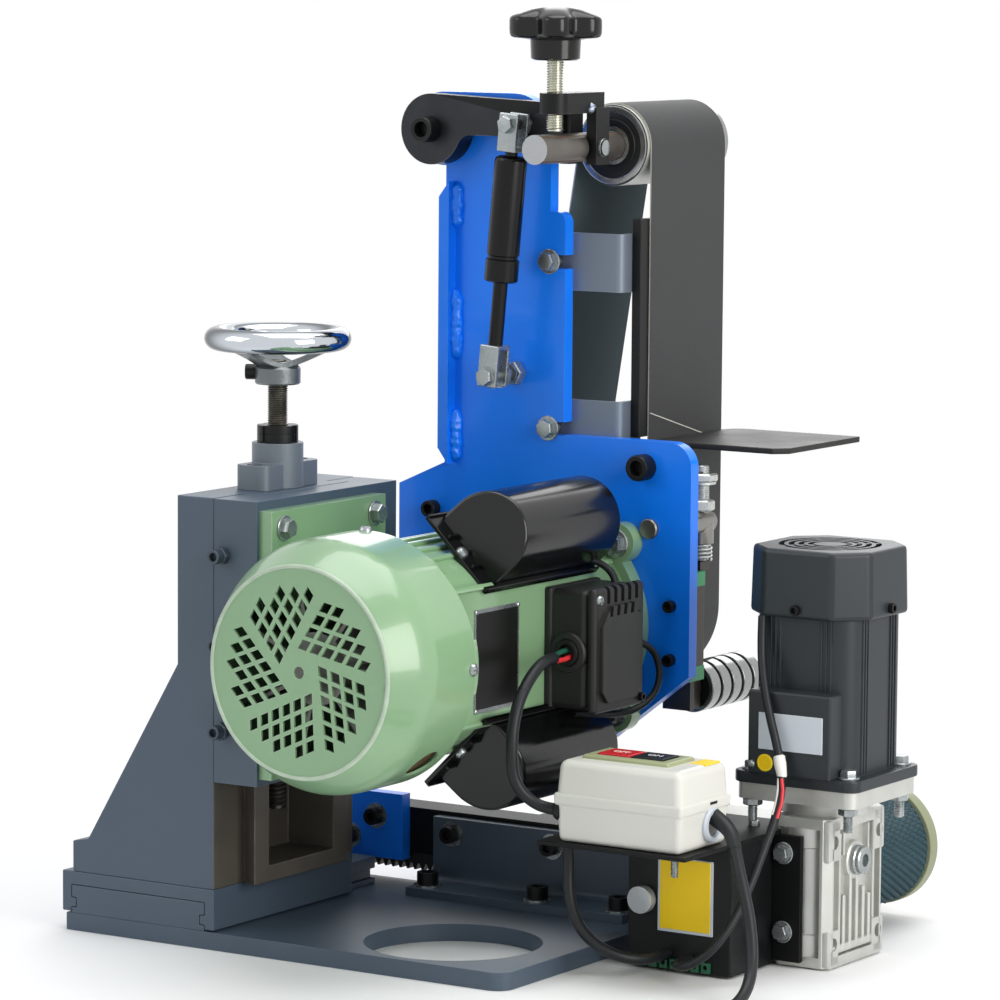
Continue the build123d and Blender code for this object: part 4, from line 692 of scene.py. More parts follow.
def pale_floor():
    """A floor that keeps the shadow near the machine and turns to plain white further out."""
    free_hands()
    bpy.ops.mesh.primitive_plane_add(size=FLOOR_SIZE, location=(0, 0, FLOOR_Z))
    floor = bpy.context.object
    floor.name = "floor"
    material, tree, shader = blank_material("pale_floor", {"Base Color": FLOOR_COLOUR, "Roughness": 0.8})
    place = add(tree, "TexCoord")
    shift = add(tree, "VectorMath", {1: SHADOW_MIDDLE}, operation="SUBTRACT")
    reach = add(tree, "VectorMath", operation="LENGTH")
    fade = add(tree, "MapRange", {"From Min": SHADOW_FULL, "From Max": SHADOW_GONE}, interpolation_type="SMOOTHSTEP")
    share = add(tree, "Math", operation="MULTIPLY")
    white = add(tree, "Emission")
    mix = add(tree, "MixShader")
    wire(tree, (place, "Object", shift, 0), (shift, 0, reach, 0), (reach, "Value", fade, "Value"),
         (fade, "Result", share, 0), (seen_rays(tree), 0, share, 1), (share, 0, mix, 0), (shader, 0, mix, 1),
         (white, 0, mix, 2), (mix, 0, tree.nodes["Material Output"], "Surface"))
    floor.data.materials.append(material)


studio()
white_surroundings()
pale_floor()
bpy.context.scene.view_settings.view_transform = "Standard"
print("lamps", len(bpy.data.lights))

# %% [markdown]
# ## Cords
# A cord is a smooth curve through listed points: straight out of its gland, down under its weight, and
# along the floor. A NURBS curve stays smooth with few points, and its round bevel is the thickness of the cord.
# Each of the four short cords keeps to one body.

# %% Cord helpers


def round_curve(name, kind, points, diameter, resolution=12):
    """A curve with a round section through points in metres, and its spline."""
    data = bpy.data.curves.new(name, "CURVE")
    data.dimensions = "3D"
    data.resolution_u = resolution
    data.bevel_resolution = 4
    data.bevel_depth = diameter * MM / 2
    data.use_fill_caps = True
    spline = data.splines.new(kind)
    spline.points.add(len(points) - 1)
    for point, place in zip(spline.points, points):
        point.co = (*place, 1.0)
    return linked(name, data), spline


def route_curve(name, points, diameter):
    """A NURBS curve whose control points are the route, in millimetres."""
    piece, spline = round_curve(name, "NURBS", [Vector(place) * MM for place in points], diameter, resolution=6)
    spline.order_u = 3
    spline.use_endpoint_u = True
    bpy.context.view_layer.update()
    return piece


def tube_on(name, points, diameter, swell=1.0):
    """A round mesh tube along points in metres, closed at both ends; swell widens its first end."""
    piece, spline = round_curve(name, "POLY", points, diameter)
    for index, point in enumerate(spline.points):
        point.radius = swell + (1.0 - swell) * index / (len(points) - 1)
    take(piece)
    bpy.ops.object.convert(target="MESH")
    return bpy.context.object


def centre_line(curve):
    """The points of the curve's own line, in metres."""
    depth = curve.data.bevel_depth
    curve.data.bevel_depth = 0.0
    curve.data.use_fill_caps = False
    line = bpy.data.meshes.new_from_object(curve.evaluated_get(bpy.context.evaluated_depsgraph_get()))
    points = [vertex.co.copy() for vertex in line.vertices]
    bpy.data.meshes.remove(line)
    curve.data.bevel_depth = depth
    curve.data.use_fill_caps = True
    return points


def line_length(points):
    return sum((b - a).length for a, b in zip(points, points[1:]))


def laid_cord(name, points, diameter, body, stands_for):
    """A whole cord on one body; its centre line comes back."""
    piece = route_curve(name, points, diameter)
    line = centre_line(piece)
    piece.data.materials.append(looks["cable_sheath"])
    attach(piece, body)
    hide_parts(*stands_for)
    return line


# %% Short cords on the motor and the feed unit
CONTROL_ROUTE = [
    (180.0, -40.0, 89.0), (180.0, -40.0, 72.0), (182.0, -43.0, 54.0), (189.0, -46.0, 38.0),
    (201.0, -47.0, 25.5), (216.0, -43.0, 17.0), (227.5, -32.0, 13.0), (232.0, -15.5, 12.0),
    (232.0, 1.0, 12.0),
]
GEAR_ROUTE = [
    (269.5, 56.0, 234.0), (271.0, 52.0, 214.0), (277.0, 45.0, 193.5), (284.5, 40.0, 172.0),
    (292.5, 38.0, 150.0), (298.5, 35.0, 128.0), (298.0, 27.0, 106.0), (296.0, 15.0, 86.0),
    (294.0, 4.0, 67.0), (291.0, -7.0, 49.5), (286.5, -18.0, 34.0), (279.0, -27.5, 21.5),
    (267.5, -32.0, 13.5), (256.0, -28.0, 11.0), (250.0, -17.0, 11.0), (249.0, -7.0, 11.2),
    (249.0, 1.0, 11.2),
]
LOW_LEAD_ROUTE = [
    (160.0, 75.5, 206.0), (162.5, 88.0, 202.0), (165.5, 96.0, 192.0), (167.0, 97.5, 180.0),
    (164.5, 95.0, 167.5), (157.5, 84.0, 157.5), (151.0, 66.0, 155.5), (147.0, 44.0, 158.5), (142.0, 26.0, 161.0),
]
HIGH_LEAD_ROUTE = [
    (124.0, 56.0, 260.5), (131.0, 62.0, 260.5), (138.0, 66.0, 258.0), (144.0, 67.5, 253.5),
    (148.5, 67.0, 248.0), (151.0, 65.5, 241.0),
]
for name, route, diameter, body, node in (
        ("control_cord", CONTROL_ROUTE, 7.6, "feed", "control_cable"),
        ("gear_motor_cord", GEAR_ROUTE, 5.8, "feed", "gear_cable"),
        ("lower_capacitor_cord", LOW_LEAD_ROUTE, 4.8, "carriage", "capacitor_leads"),
        ("upper_capacitor_cord", HIGH_LEAD_ROUTE, 4.8, "carriage", "capacitor_leads")):
    laid_cord(name, route, diameter, body, [node])

# %% [markdown]
# ## The mains lead
# The lead leaves the switch box, drops to the floor and ends in a plug. Most of its length lies in a flat coil. Half
# circles whose radius changes step by step make the spiral: it goes in on the floor, climbs by one cord and comes out
# on top of itself.

# %% Mains lead with its coil
MAINS_D = 8.0
COIL_LEAST_R = 31.0
COIL_TURNS = 3
COIL_PITCH = 8.6
COIL_TAIL = 48.0
HALF_TURN_POINTS = 12
MAINS_ROUTE = [
    (285.0, -24.0, 110.0), (295.0, -28.0, 106.5), (302.0, -34.0, 97.0), (308.0, -39.0, 84.5),
    (314.0, -42.5, 71.0), (319.5, -45.5, 57.0), (324.0, -49.0, 42.5), (328.0, -54.5, 28.5),
    (331.5, -64.0, 16.5), (334.0, -77.5, 8.8), (335.0, -94.0, 5.0), (334.5, -112.0, 4.2),
    (332.5, -131.0, 4.12), (331.0, -150.5, 4.1), (331.0, -170.0, 4.1),
]


def coil_points(start):
    """Half circles that spiral in on the floor, climb one cord, and spiral out again on top."""
    radii = [COIL_LEAST_R + COIL_PITCH * step / 2 for step in range(2 * COIL_TURNS, 0, -1)]
    x, y, z = start
    y -= MAINS_D
    points = [(x, y, z)]
    side = 1
    for index, radius in enumerate(radii + [COIL_LEAST_R] + radii[:0:-1]):
        climb = COIL_PITCH if index == len(radii) else 0.0
        for step in range(1, HALF_TURN_POINTS + 1):
            share = step / HALF_TURN_POINTS
            angle = math.pi * share
            points.append((x + side * radius * (1 - math.cos(angle)), y - side * radius * math.sin(angle),
                           z + climb * share))
        x, y, z = points[-1]
        side = -side
    return points + [(x, y - COIL_TAIL / 2, z), (x, y - COIL_TAIL, z)]


mains_line = laid_cord("mains_cord", MAINS_ROUTE + coil_points(MAINS_ROUTE[-1]), MAINS_D, "feed",
                       ["mains_lead", "lead_coil"])

# %% [markdown]
# ## The motor cable
# This cable hangs between the motor, which rides on carriage and column, and the switch box on the feed unit. One route
# is cut into three lengths, one for each pair of neighbouring bodies; the lengths are not tied to any body.

# %% Motor cable in three lengths
MOTOR_CORD_D = 8.0
MOTOR_ROUTE = [
    (148.0, -9.0, 203.0), (149.5, -21.0, 203.0), (151.5, -34.0, 200.8), (152.6, -47.0, 193.6),
    (153.0, -60.0, 181.5), (153.6, -68.0, 165.0), (154.2, -70.0, 149.0), (154.6, -69.0, 134.0),
    (158.2, -66.6, 123.8), (164.8, -62.0, 116.3), (173.0, -58.0, 112.0), (184.0, -58.0, 112.0),
]
MOTOR_CORD_BODIES = ("carriage", "column", "base", "feed")


def motor_cable():
    route = route_curve("motor_cord_route", MOTOR_ROUTE, MOTOR_CORD_D)
    line = centre_line(route)
    bpy.data.objects.remove(route)
    lengths = len(MOTOR_CORD_BODIES) - 1
    share = line_length(line) / lengths
    cuts = [min(range(len(line)), key=lambda end: abs(line_length(line[:end + 1]) - share * step))
            for step in range(lengths + 1)]
    for index in range(lengths):
        points = line[cuts[index]:cuts[index + 1] + 1]
        piece = tube_on(f"motor_cord_{index + 1}", points, MOTOR_CORD_D)
        shade(piece, 40)
        piece.data.materials.append(looks["cable_sheath"])
        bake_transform(piece)
        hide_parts("motor_cable")


motor_cable()

# %% [markdown]
# ## Fasteners and threads
# A bolt head is a six-sided turning with a chamfered crown on a washer, a cap screw is a turning whose profile goes
# down into its socket, and a thread is one tooth wound up by a Screw modifier. They catch the light all over this
# machine, so they are modelled once here and set where they belong.

# %% Fastener tools


def pin(radius, length, centre, facing, steps=32):
    """A plain round bar, or a washer."""
    return lathe([(radius, 0), (radius, length)], centre, facing, steps)


def bolt_head(centre, facing, size, washer=True, twist=0):
    base = 0.17 * size if washer else 0.0
    corner = 0.78 * size
    crown = lathe([(corner, base), (corner, base + 0.5 * size), (0.70 * size, base + 0.62 * size),
                   (0.4 * size, base + 0.64 * size)], centre, facing, 6, twist)
    if not washer:
        return crown
    return join(crown, lathe([(0.98 * size, 0), (size, 0.03 * size), (size, 0.13 * size), (0.95 * size, base)],
                             centre, facing, 32))


def nut(centre, facing, size, height=0.8, twist=0):
    corner = 0.94 * size
    return lathe([(0.84 * size, 0), (corner, 0.1 * size), (corner, (height - 0.1) * size),
                  (0.84 * size, height * size)], centre, facing, 6, twist)


def cap_screw(centre, facing, size):
    head = 0.75 * size
    return lathe([(head, 0), (head, 0.88 * size), (0.92 * head, size), (0.62 * head, size), (0.56 * head, 0.9 * size),
                  (0.54 * head, 0.4 * size)], centre, facing, 28)


def pan_screw(centre, facing, size):
    """A domed head with a cross cut."""
    head = lathe([(size, 0), (size, 0.3 * size), (0.8 * size, 0.62 * size), (0.4 * size, 0.78 * size),
                  (0.1 * size, 0.8 * size)], (0, 0, 0), steps=24)
    for x, y in ((0.7, 0.12), (0.12, 0.7)):
        carve(head, block(Vector((-x, -y, 0.55)) * size, Vector((x, y, 1.0)) * size))
    return set_down(head, centre, facing)


def thread(radius, pitch, low, high, centre, steps=20):
    """One tooth wound into an upright screw thread, on a plain core that closes its ends."""
    free_hands()
    bpy.ops.mesh.primitive_circle_add(vertices=3, radius=MM, fill_type="NOTHING")
    piece = bpy.context.object
    root = radius - 0.55 * pitch
    for corner, place in zip(piece.data.vertices, ((root, 0, 0), (radius, 0, pitch / 2), (root, 0, pitch))):
        corner.co = Vector(place) * MM
    edit(piece, "EDGE", "DESELECT")
    leave_edit()
    for side in piece.data.edges:
        side.select = 1 not in side.vertices
    bpy.ops.object.mode_set(mode="EDIT")
    bpy.ops.mesh.delete(type="EDGE")
    leave_edit()
    apply_modifier(piece, "SCREW", axis="Z", angle=2 * math.pi, screw_offset=pitch * MM, steps=steps,
                   render_steps=steps, iterations=int((high - low) / pitch), use_merge_vertices=True,
                   merge_threshold=WELD)
    edit(piece)
    bpy.ops.mesh.normals_make_consistent(inside=False)
    leave_edit()
    piece.data.transform(at(centre) @ at((0, 0, low)))
    core, bevel = root + 0.1, 0.6
    return join(piece, lathe([(core - bevel, low), (core, low + bevel), (core, high - bevel), (core - bevel, high)],
                             centre, steps=20))


print("fastener tools ready")

# %% [markdown]
# ## Base, column and carriage
# These are planed castings in blue-grey paint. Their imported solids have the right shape, but knife edges, so a copy of
# each gets its triangles merged, a small bevel along every edge and its paint, and stands for the node. The dovetail
# and the pocket behind it are bare, oiled iron.

# %% Castings of the column
SCREW_X, SCREW_Y = -60.0, -32.5
SCREW = (SCREW_X, SCREW_Y, 0)
EARS = (-26.0, 26.0)
RAIL_ROOT, RAIL_BACK, RAIL_TOP, RAIL_HALF = -53.5, -79, 304, 82
POCKET_HALF, POCKET_TOP = 39, 291


def bare_iron(place, facing):
    """True on the dovetail and in the pocket behind it."""
    aside = abs(place.y - SCREW_Y)
    pocket = aside < POCKET_HALF and place.z < POCKET_TOP
    return (place.z < RAIL_TOP and place.x > RAIL_BACK and aside < RAIL_HALF
            and (place.x > RAIL_ROOT - 0.4 or pocket))


soften_each(("base_plate", 1.0, "grey_enamel"), ("cross_way", 0.6, "grey_enamel"), ("column_foot", 0.8, "grey_enamel"),
            ("carriage", 0.8, "grey_enamel"), ("lock_nuts", 0.3, "black_oxide"))
bearing = soften("bearing_block", 2.6, "bearing_grey", 3)
for ear in EARS:
    carve(bearing, lathe([(5.6, 313), (5.6, 330)], (SCREW_X, SCREW_Y + ear, 0), steps=36))
paint_faces(soften("column", 0.9, "grey_enamel"), "oiled_iron", bare_iron)

# %% [markdown]
# ## Lead screw and handwheel
# The screw is a trapezoidal thread that shows above the lock nuts and inside the pocket. The wheel is a polished
# rim on three broad cast spokes: a ring is turned for the rim, and one spoke is a block that is tilted up from the
# hub, rounded and turned twice more.

# %% Screw, wheel and gib screws
RIM_R, RIM_SECTION, RIM_FLATNESS, RIM_Z, RIM_STEPS = 41.6, 8.4, 0.93, 407.0, 18
SPOKE_ROOT, SPOKE_TIP, SPOKE_Z, SPOKE_TURN = 6, 43, 388.5, 20
GRUB_WAY = (-math.cos(0.5), -math.sin(0.5), 0)
GIB_X, GIB_FACE = -46.0, -115.0
screw_parts = [thread(7.0, 3.0, 84.0, 285.0, SCREW), thread(7.0, 1.5, 288.0, 392.0, SCREW),
               lathe([(12, 284), (12, 289.8)], SCREW, steps=40)]
finished(screw_parts, "lead_screw_thread", "dark_thread", "lead_screw", "bright_steel", ["lead_screw"])

rim_turns = [2 * math.pi * step / RIM_STEPS for step in range(RIM_STEPS + 1)]
rim = lathe([(RIM_R + RIM_SECTION * math.cos(turn), RIM_Z + RIM_FLATNESS * RIM_SECTION * math.sin(turn))
             for turn in rim_turns], SCREW, steps=96)
# The rim's chrome darkens towards its outline: a painted reflection
finished(rim, "handwheel_rim", "chrome_plate", "lead_screw", "chrome", ["handwheel"], angle=60)


def spoke(third):
    piece = block((SPOKE_ROOT, -13, -2.2), (SPOKE_TIP, 13, 2.2))
    edit(piece)
    bpy.ops.mesh.subdivide(number_cuts=5)
    leave_edit()
    for corner in piece.data.vertices:
        out = (corner.co.x / MM - SPOKE_ROOT) / (SPOKE_TIP - SPOKE_ROOT)
        corner.co.y *= 1.0 - 0.55 * math.sin(math.pi * min(out, 1.0))
        corner.co.z += (13 * out + 4 * out * out) * MM
    round_edges(piece, 1.2, 2, 30)
    return set_down(piece, (SCREW_X, SCREW_Y, SPOKE_Z), "Z", 120 * third + SPOKE_TURN)


hub = lathe([(7.2, 376), (14.6, 376), (15.5, 377), (15.5, 387), (14.0, 388.5), (10, 391.5), (7.2, 391.5)],
            SCREW, steps=48)
finished([hub, *map(spoke, range(3))], "handwheel_spokes", "rough_casting", "lead_screw", "chrome", ["handwheel"])
grub = cap_screw((SCREW_X + 15.0 * GRUB_WAY[0], SCREW_Y + 15.0 * GRUB_WAY[1], 384.0), GRUB_WAY, 7.0)
finished(grub, "handwheel_set_screw", "black_oxide", "lead_screw", "chrome")
gibs = []
for index, height in enumerate((150.0, 208.0, 268.0)):
    gibs += [nut((GIB_X, GIB_FACE, height), FRONT, 6.6, 0.75, 17 * index),
             cap_screw((GIB_X, GIB_FACE - 4.8, height), FRONT, 6.6)]
finished(gibs, "gib_screws", "painted_screw", "carriage", "black_steel", ["socket_screws"])
finished([cap_screw((SCREW_X, SCREW_Y + ear, 314.0), UP, 6.0) for ear in EARS], "bearing_ear_screws",
         "painted_screw", "column", "grey_paint")

# %% [markdown]
# ## The motor
# A rolled and cast motor in pale green gloss. The fan cover is pressed: a flat face with rhombic vents that rolls over
# a soft shoulder into the skirt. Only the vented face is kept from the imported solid, because its hundred holes are
# right already, and the shoulder and skirt are turned anew so that they are round.

# %% Frame, flange and fan cover
MOTOR_X, MOTOR_Z = 72.0, 209.5
MOTOR = (MOTOR_X, 0.0, MOTOR_Z)
FLAT_X = 127.4
SKIRT = [(66.4, -194.9), (67.6, -195.0), (68.8, -194.6), (69.9, -193.4), (71.4, -190.8), (76.0, -183.0),
         (79.4, -177.0), (81.4, -172.6), (82.9, -168.0), (83.7, -163.4), (84.0, -158.6), (84.0, -117.0),
         (83.7, -115.4), (83.0, -115.2), (82.2, -116.0), (82.2, -160.0), (80.0, -171.0), (68.0, -191.4),
         (66.4, -192.6), (66.4, -194.9)]


def out_way(degrees):
    """A direction away from the motor's axis; degrees go from +X up."""
    return (math.cos(math.radians(degrees)), 0, math.sin(math.radians(degrees)))


def on_motor(radius, degrees, y):
    """A place round the motor's axis."""
    x, _, z = out_way(degrees)
    return (MOTOR_X + radius * x, y, MOTOR_Z + radius * z)


def motor_piece(piece, name, look, stands_for=(), angle=32):
    return finished(piece, name, look, "carriage", "motor_paint", stands_for, angle)


def frame_rib(degrees):
    rib = soft_block((70, -108, -2.2), (73.4, 97, 2.2), 1.3)
    rib.data.transform(at(MOTOR) @ Matrix.Rotation(-math.radians(degrees), 4, "Y"))
    return rib


carve(soften("motor_frame", 0.8, "green_enamel"), block((FLAT_X - 0.6, -130, 150), (150, 97, 270)))
motor_piece(block((FLAT_X - 3, -114.6, 165.4), (FLAT_X, 97, 253.6)), "motor_frame_flat", "green_enamel")
soften_each(("motor_flange", 1.5, "green_enamel"), ("motor_shaft", 0.4, "bare_steel"))
rib_turns = (*range(64, 115, 10), *range(-64, -115, -10), 39.4, -39.4)
motor_piece([*map(frame_rib, rib_turns)], "motor_frame_ribs", "green_enamel")

cut_off(soften("fan_cover", 0.0, "green_enamel"), (0, -192.4, 0), BACK, fill=False)
PORT, PORT_WAY = on_motor(84, -48, -137), out_way(-48)
skirt = carve(lathe(SKIRT, MOTOR, "Y", 128), lathe([(13, -20), (13, 20)], PORT, PORT_WAY, 40))
motor_piece(skirt, "fan_cover_skirt", "green_enamel", ["fan_cover"], angle=24)
# A brown-dark disc sunk in the port stands for the dark inside of the hole: painted shade
motor_piece(lathe([(15, -5.0), (15, -4.0)], PORT, PORT_WAY, 32), "fan_cover_port_floor", "brown_cork")
bead = lathe([(67.0, -194.8), (67.4, -195.8), (68.5, -196.1), (69.5, -195.5), (69.9, -194.2), (68.4, -193.6),
              (67.0, -194.8)], MOTOR, "Y", 128)
motor_piece(bead, "fan_cover_bead", "pale_edge", angle=60)
motor_piece([pan_screw(on_motor(83.9, degrees, -120), out_way(degrees), 4.2) for degrees in range(0, 360, 90)],
            "fan_cover_screws", "zinc_plate")

# %% [markdown]
# ## Rating plate
# The frame has a flat on its right side for the terminal box and a thin riveted plate. The plate carries print on the
# real machine, which stays off here: it is a bright rim round a plain dark field.

# %% Blank plate with rivets
motor_piece(soft_block((FLAT_X - 1, -75.0, 171.8), (FLAT_X + 0.7, -21.0, 240.6), 0.3),
            "rating_plate_rim", "zinc_plate")
motor_piece(soft_block((FLAT_X - 1, -73.0, 174.4), (FLAT_X + 1.0, -23.0, 238.0), 0.3),
            "rating_plate_field", "dark_field")
RIVET = [(1.7, 0), (1.6, 0.5), (1.0, 1.0), (0.2, 1.1)]
motor_piece([lathe(RIVET, (FLAT_X + 0.8, y, z), RIGHT, 16) for y in (-73.4, -22.6) for z in (173.4, 239.0)],
            "rating_plate_rivets", "zinc_plate")

# %% [markdown]
# ## Capacitor covers
# Each capacitor sits under a glossy black cover with a round back, straight flanks and a flat skirt on the motor. Its
# front end leans back a little. The section is drawn once as a flat outline, pulled along the motor and cut with one
# leaning plane; the lower cover is the mirror image of the upper one.

# %% Covers, skirts and screws
COVER_X, COVER_LIFT, COVER_R, COVER_SEAT, COVER_STEPS = 119.5, 77.0, 29.5, 16.5, 24
LEAN = math.radians(13.6)
# lower and upper height, left and right edge, near and far end of each strip of a skirt
SKIRT_STRIPS = ((-1.6, 1.4, -33, 33, -67, 72), (-1.6, 3.4, -33, -31.2, -67, 72), (-1.6, 3.4, 33, 31.2, -67, 72),
                (1, 4.4, -13.9, -12.1, -65, -52), (1, 4.4, 12.1, 13.9, -65, -52))


def capacitor_cover(side):
    """The cover over (1) or under (-1) the motor's middle, the strips of its skirt and its screw."""
    out = Vector(out_way(45 * side))
    across = Vector((-out.z, 0, out.x)) * side
    seat = Vector((COVER_X, 0, MOTOR_Z + side * COVER_LIFT)) - out * COVER_SEAT

    def spot(reach, width, y=0.0):
        """A place at a height over the skirt and a distance from its middle line."""
        place = seat + out * reach + across * width
        return Vector((place.x, y, place.z))

    def pulled(outline, near, far):
        return sheet_metal([spot(*point).xz for point in outline], near, far, "Y")

    turns = [math.pi * step / COVER_STEPS for step in range(COVER_STEPS + 1)]
    back = [(COVER_SEAT + COVER_R * math.sin(turn), -COVER_R * math.cos(turn)) for turn in turns]
    cover = pulled([(0, -COVER_R), *back, (0, COVER_R)], -62, 74)
    cut_off(cover, spot(COVER_SEAT + COVER_R, 0, -44), out * math.sin(LEAN) - Vector((0, math.cos(LEAN), 0)))
    round_edges(cover, 2.2, 3, 40)
    strips = [round_edges(pulled([(low, left), (high, left), (high, right), (low, right)], near, far), 0.6)
              for low, high, left, right, near, far in SKIRT_STRIPS]
    return cover, strips, pan_screw(spot(1.3, 0, -61.5), out, 4.2)


covers, skirts, screws = zip(*map(capacitor_cover, (1, -1)))
motor_piece([*covers], "capacitor_covers_moulded", "black_gloss", ["capacitor_covers"])
motor_piece(skirts[0] + skirts[1], "capacitor_skirts", "black_gloss")
motor_piece([*screws], "capacitor_screws", "zinc_plate")

# %% [markdown]
# ## Terminal box
# A moulded box with a lid. It stands on a wider rim, its front wall has a round socket for the cable, and the lid is a
# slab with cooling slits along its top edge and a raised panel. The real panel has a moulded sign, and here it stays
# plain.

# %% Box, lid and cable grommet
GLAND = (146.0, 13.0, 204.0)
PANEL = [(18, 178), (25, 170), (62, 170), (69, 178), (69, 226), (62, 235), (30, 235), (18, 222)]
SLIT_WIDTH = 4.2
socket = lathe([(8.6, -3), (13.8, -3), (13.8, 1.2), (12.8, 2.6), (10.0, 3.2), (8.6, 2.6), (8.6, -3)], GLAND, FRONT, 48)
motor_piece([soft_block((FLAT_X - 1, 13, 165), (159.5, 75, 246), 5.0, 4),
             soft_block((FLAT_X - 1, 11.4, 164), (FLAT_X + 5.4, 76.4, 247), 2.2, 3), socket],
            "terminal_box_body", "black_moulding", ["terminal_box"])

lid = soft_block((159.8, 12.2, 163.2), (167.0, 75.8, 247.8), 3.2, 3)
panel = round_edges(sheet_metal(PANEL, 164.0, 169.8, "X"), 0.9)
pick_faces(panel, lambda place, facing: facing.x > 0.99 and place.x > 169)
bpy.ops.mesh.inset(thickness=6.0 * MM, depth=-0.7 * MM)
leave_edit()
for y in range(27, 64, 9):
    carve(lid, block((161.5, y, 236.5), (171, y + SLIT_WIDTH, 250)))
    carve(panel, block((165.5, y, 228), (171, y + SLIT_WIDTH, 250)))
motor_piece([lid, panel], "terminal_lid_panel", "black_moulding", ["terminal_lid"])
motor_piece(pan_screw((166.6, 17.5, 240.0), RIGHT, 3.4), "terminal_lid_screw_high", "zinc_plate")
motor_piece(cap_screw((166.0, 71.0, 168.8), RIGHT, 4.0), "terminal_lid_screw_low", "black_oxide")
grommet = lathe([(4.6, -2), (9.0, -2), (9.2, 3.0), (8.6, 4.4), (7.0, 4.8), (5.8, 4.2), (5.0, 2.0), (4.6, -2)],
                GLAND, FRONT, 48)
motor_piece(grommet, "terminal_grommet", "black_rubber")

# %% [markdown]
# ## Blue head plate
# A flame-cut plate in bright blue with a stiffener welded along its left edge. The weld beads matter: they are the
# first thing that tells a welded plate from a plastic one. Each bead is a short turned bar whose radius wanders, and
# a Displace modifier adds the lumps.

# %% Plate and weld beads
soften_each(("head_plate", 0.9, "blue_enamel"), ("bed_end_plate", 0.8, "blue_enamel"))
LUMPS = bpy.data.textures.new("weld_lumps", "CLOUDS")
LUMPS.noise_scale = 4.0 * MM
LUMPS.noise_depth = 2
BEAD_STEP = 2.6


def weld_bead(low, high, x, y, width):
    profile = [(0.4, low)]
    steps = int((high - low) / BEAD_STEP)
    for step in range(steps + 1):
        share = step / steps
        taper = min(1.0, 0.55 + 6 * share * (1 - share))
        profile.append((width * taper * (1.0 + 0.10 * math.sin(2.9 * step) + 0.07 * math.sin(1.3 * step + 1)),
                        low + 1.0 + (high - low - 2.0) * share))
    bead = lathe(profile + [(0.4, high)], (x, y, 0), steps=20)
    apply_modifier(bead, "SUBSURF", levels=1, render_levels=1)
    apply_modifier(bead, "DISPLACE", texture=LUMPS, texture_coords="LOCAL", strength=2.2 * MM, mid_level=0.5)
    return bead


beads = [weld_bead(low, high, -9.0, 109.2, 5.2) for low, high in ((478, 509), (386, 435), (314, 351))]
finished(beads, "stiffener_welds", "blue_enamel", "carriage", "blue_paint", angle=60)

# %% [markdown]
# ## Bolts on the head and motor
# All the zinc-plated hexagon heads share one pattern and differ only in size, place and how far each was turned. The
# black cap screws are made the same way.

# %% Hexagon bolts and cap screws
CAP_SCREWS = (((145.5, 110, 320), 12), ((-20, 92.7, 546), 12), ((167.5, 110, 226), 5.6), ((167.5, 110, 189), 5.6),
              ((-27, 110, 280), 8))
bolts = [bolt_head((-8.2, y, z), RIGHT, 8.6, twist=13 * index)
         for index, (y, z) in enumerate(((-98, 131.5), (-98, 287.5), (9, 131.5), (9, 287.5)))]
bolts += [bolt_head(on_motor(82.5, 45 + 90 * quarter, 98), FRONT, 10, twist=11 * quarter) for quarter in range(4)]
for index, z in enumerate((342, 457)):
    bolts += [bolt_head((67.5, 110, z), FRONT, 8.6, twist=7 + 20 * index), pin(4.0, 13.2, (67.5, 110, z), BACK, 24),
              nut((67.5, 123.3, z), BACK, 8.0)]
finished(bolts, "hexagon_bolts", "zinc_plate", "carriage", "bright_steel", ["hex_bolts"])
finished([cap_screw(centre, FRONT, size) for centre, size in CAP_SCREWS], "head_cap_screws", "black_oxide",
         "carriage", "black_steel", ["socket_screws"])
finished(lathe([(7.0, 0), (7.0, 2.4), (6.2, 3.2)], (150, 110, 278), FRONT, 36), "plate_pin_end", "bare_steel",
         "carriage", "black_steel")

# %% [markdown]
# ## Tension arm and tracking screw
# The arm is a blackened plate with a round boss. A cross bar and two cheeks are welded to its end, and they hold the
# idler's axle. The knob is moulded with six lobes: it is turned as a round dome, and its corners are then drawn in
# between the lobes.

# %% Arm, pin head, tracking screw and knob
BOSS_X, BOSS_Z, BOSS_R = -20, 546, 24
KNOB_X, KNOB_Y, KNOB_LOBES, KNOB_FACING = 98.0, 66.5, 6, math.radians(-58)
KNOB_PROFILE = [(14.5, 596.0), (16.6, 597.2), (17.2, 609.5), (22.0, 610.4), (30.6, 611.2), (32.8, 612.2), (33.7, 614.0),
                (33.9, 617.0), (33.9, 623.0), (33.5, 624.6), (32.2, 625.8), (29.4, 627.2), (22.0, 629.9),
                (12.0, 631.9), (0.8, 632.6)]
KNOB = (KNOB_X, KNOB_Y, 0)
paint_faces(soften("tension_arm", 0.7, "arm_black"), "machined_grey", lambda place, facing:
            facing.y < -0.9 and math.hypot(place.x - BOSS_X, place.z - BOSS_Z) < BOSS_R)
finished(weld_bead(559.5, 567.5, 108.0, 96.0, 3.6), "cheek_weld", "weld_blue", "arm", "black_steel", angle=60)
pin_head = lathe([(6.2, 0), (6.2, 1.4), (5.2, 2.6), (2.6, 3.3), (0.4, 3.4)], (112.4, 105, 536.5), RIGHT, 36)
finished(pin_head, "axle_pin_head", "zinc_plate", "arm", "black_steel")
finished(thread(6.0, 1.75, 548.0, 612.0, KNOB), "tracking_thread", "zinc_yellow", "tracking_rod", "bright_steel",
         ["tracking_rod"])
knob = lathe(KNOB_PROFILE, KNOB, steps=144)
for corner in knob.data.vertices:
    x, y = corner.co.x / MM - KNOB_X, corner.co.y / MM - KNOB_Y
    valley = (0.5 - 0.5 * math.cos(KNOB_LOBES * (math.atan2(y, x) - KNOB_FACING))) ** 1.6
    share = 1.0 - 0.23 * valley * max(0.0, min(1.0, (math.hypot(x, y) - 17.0) / 12.0))
    corner.co.x, corner.co.y = (KNOB_X + x * share) * MM, (KNOB_Y + y * share) * MM
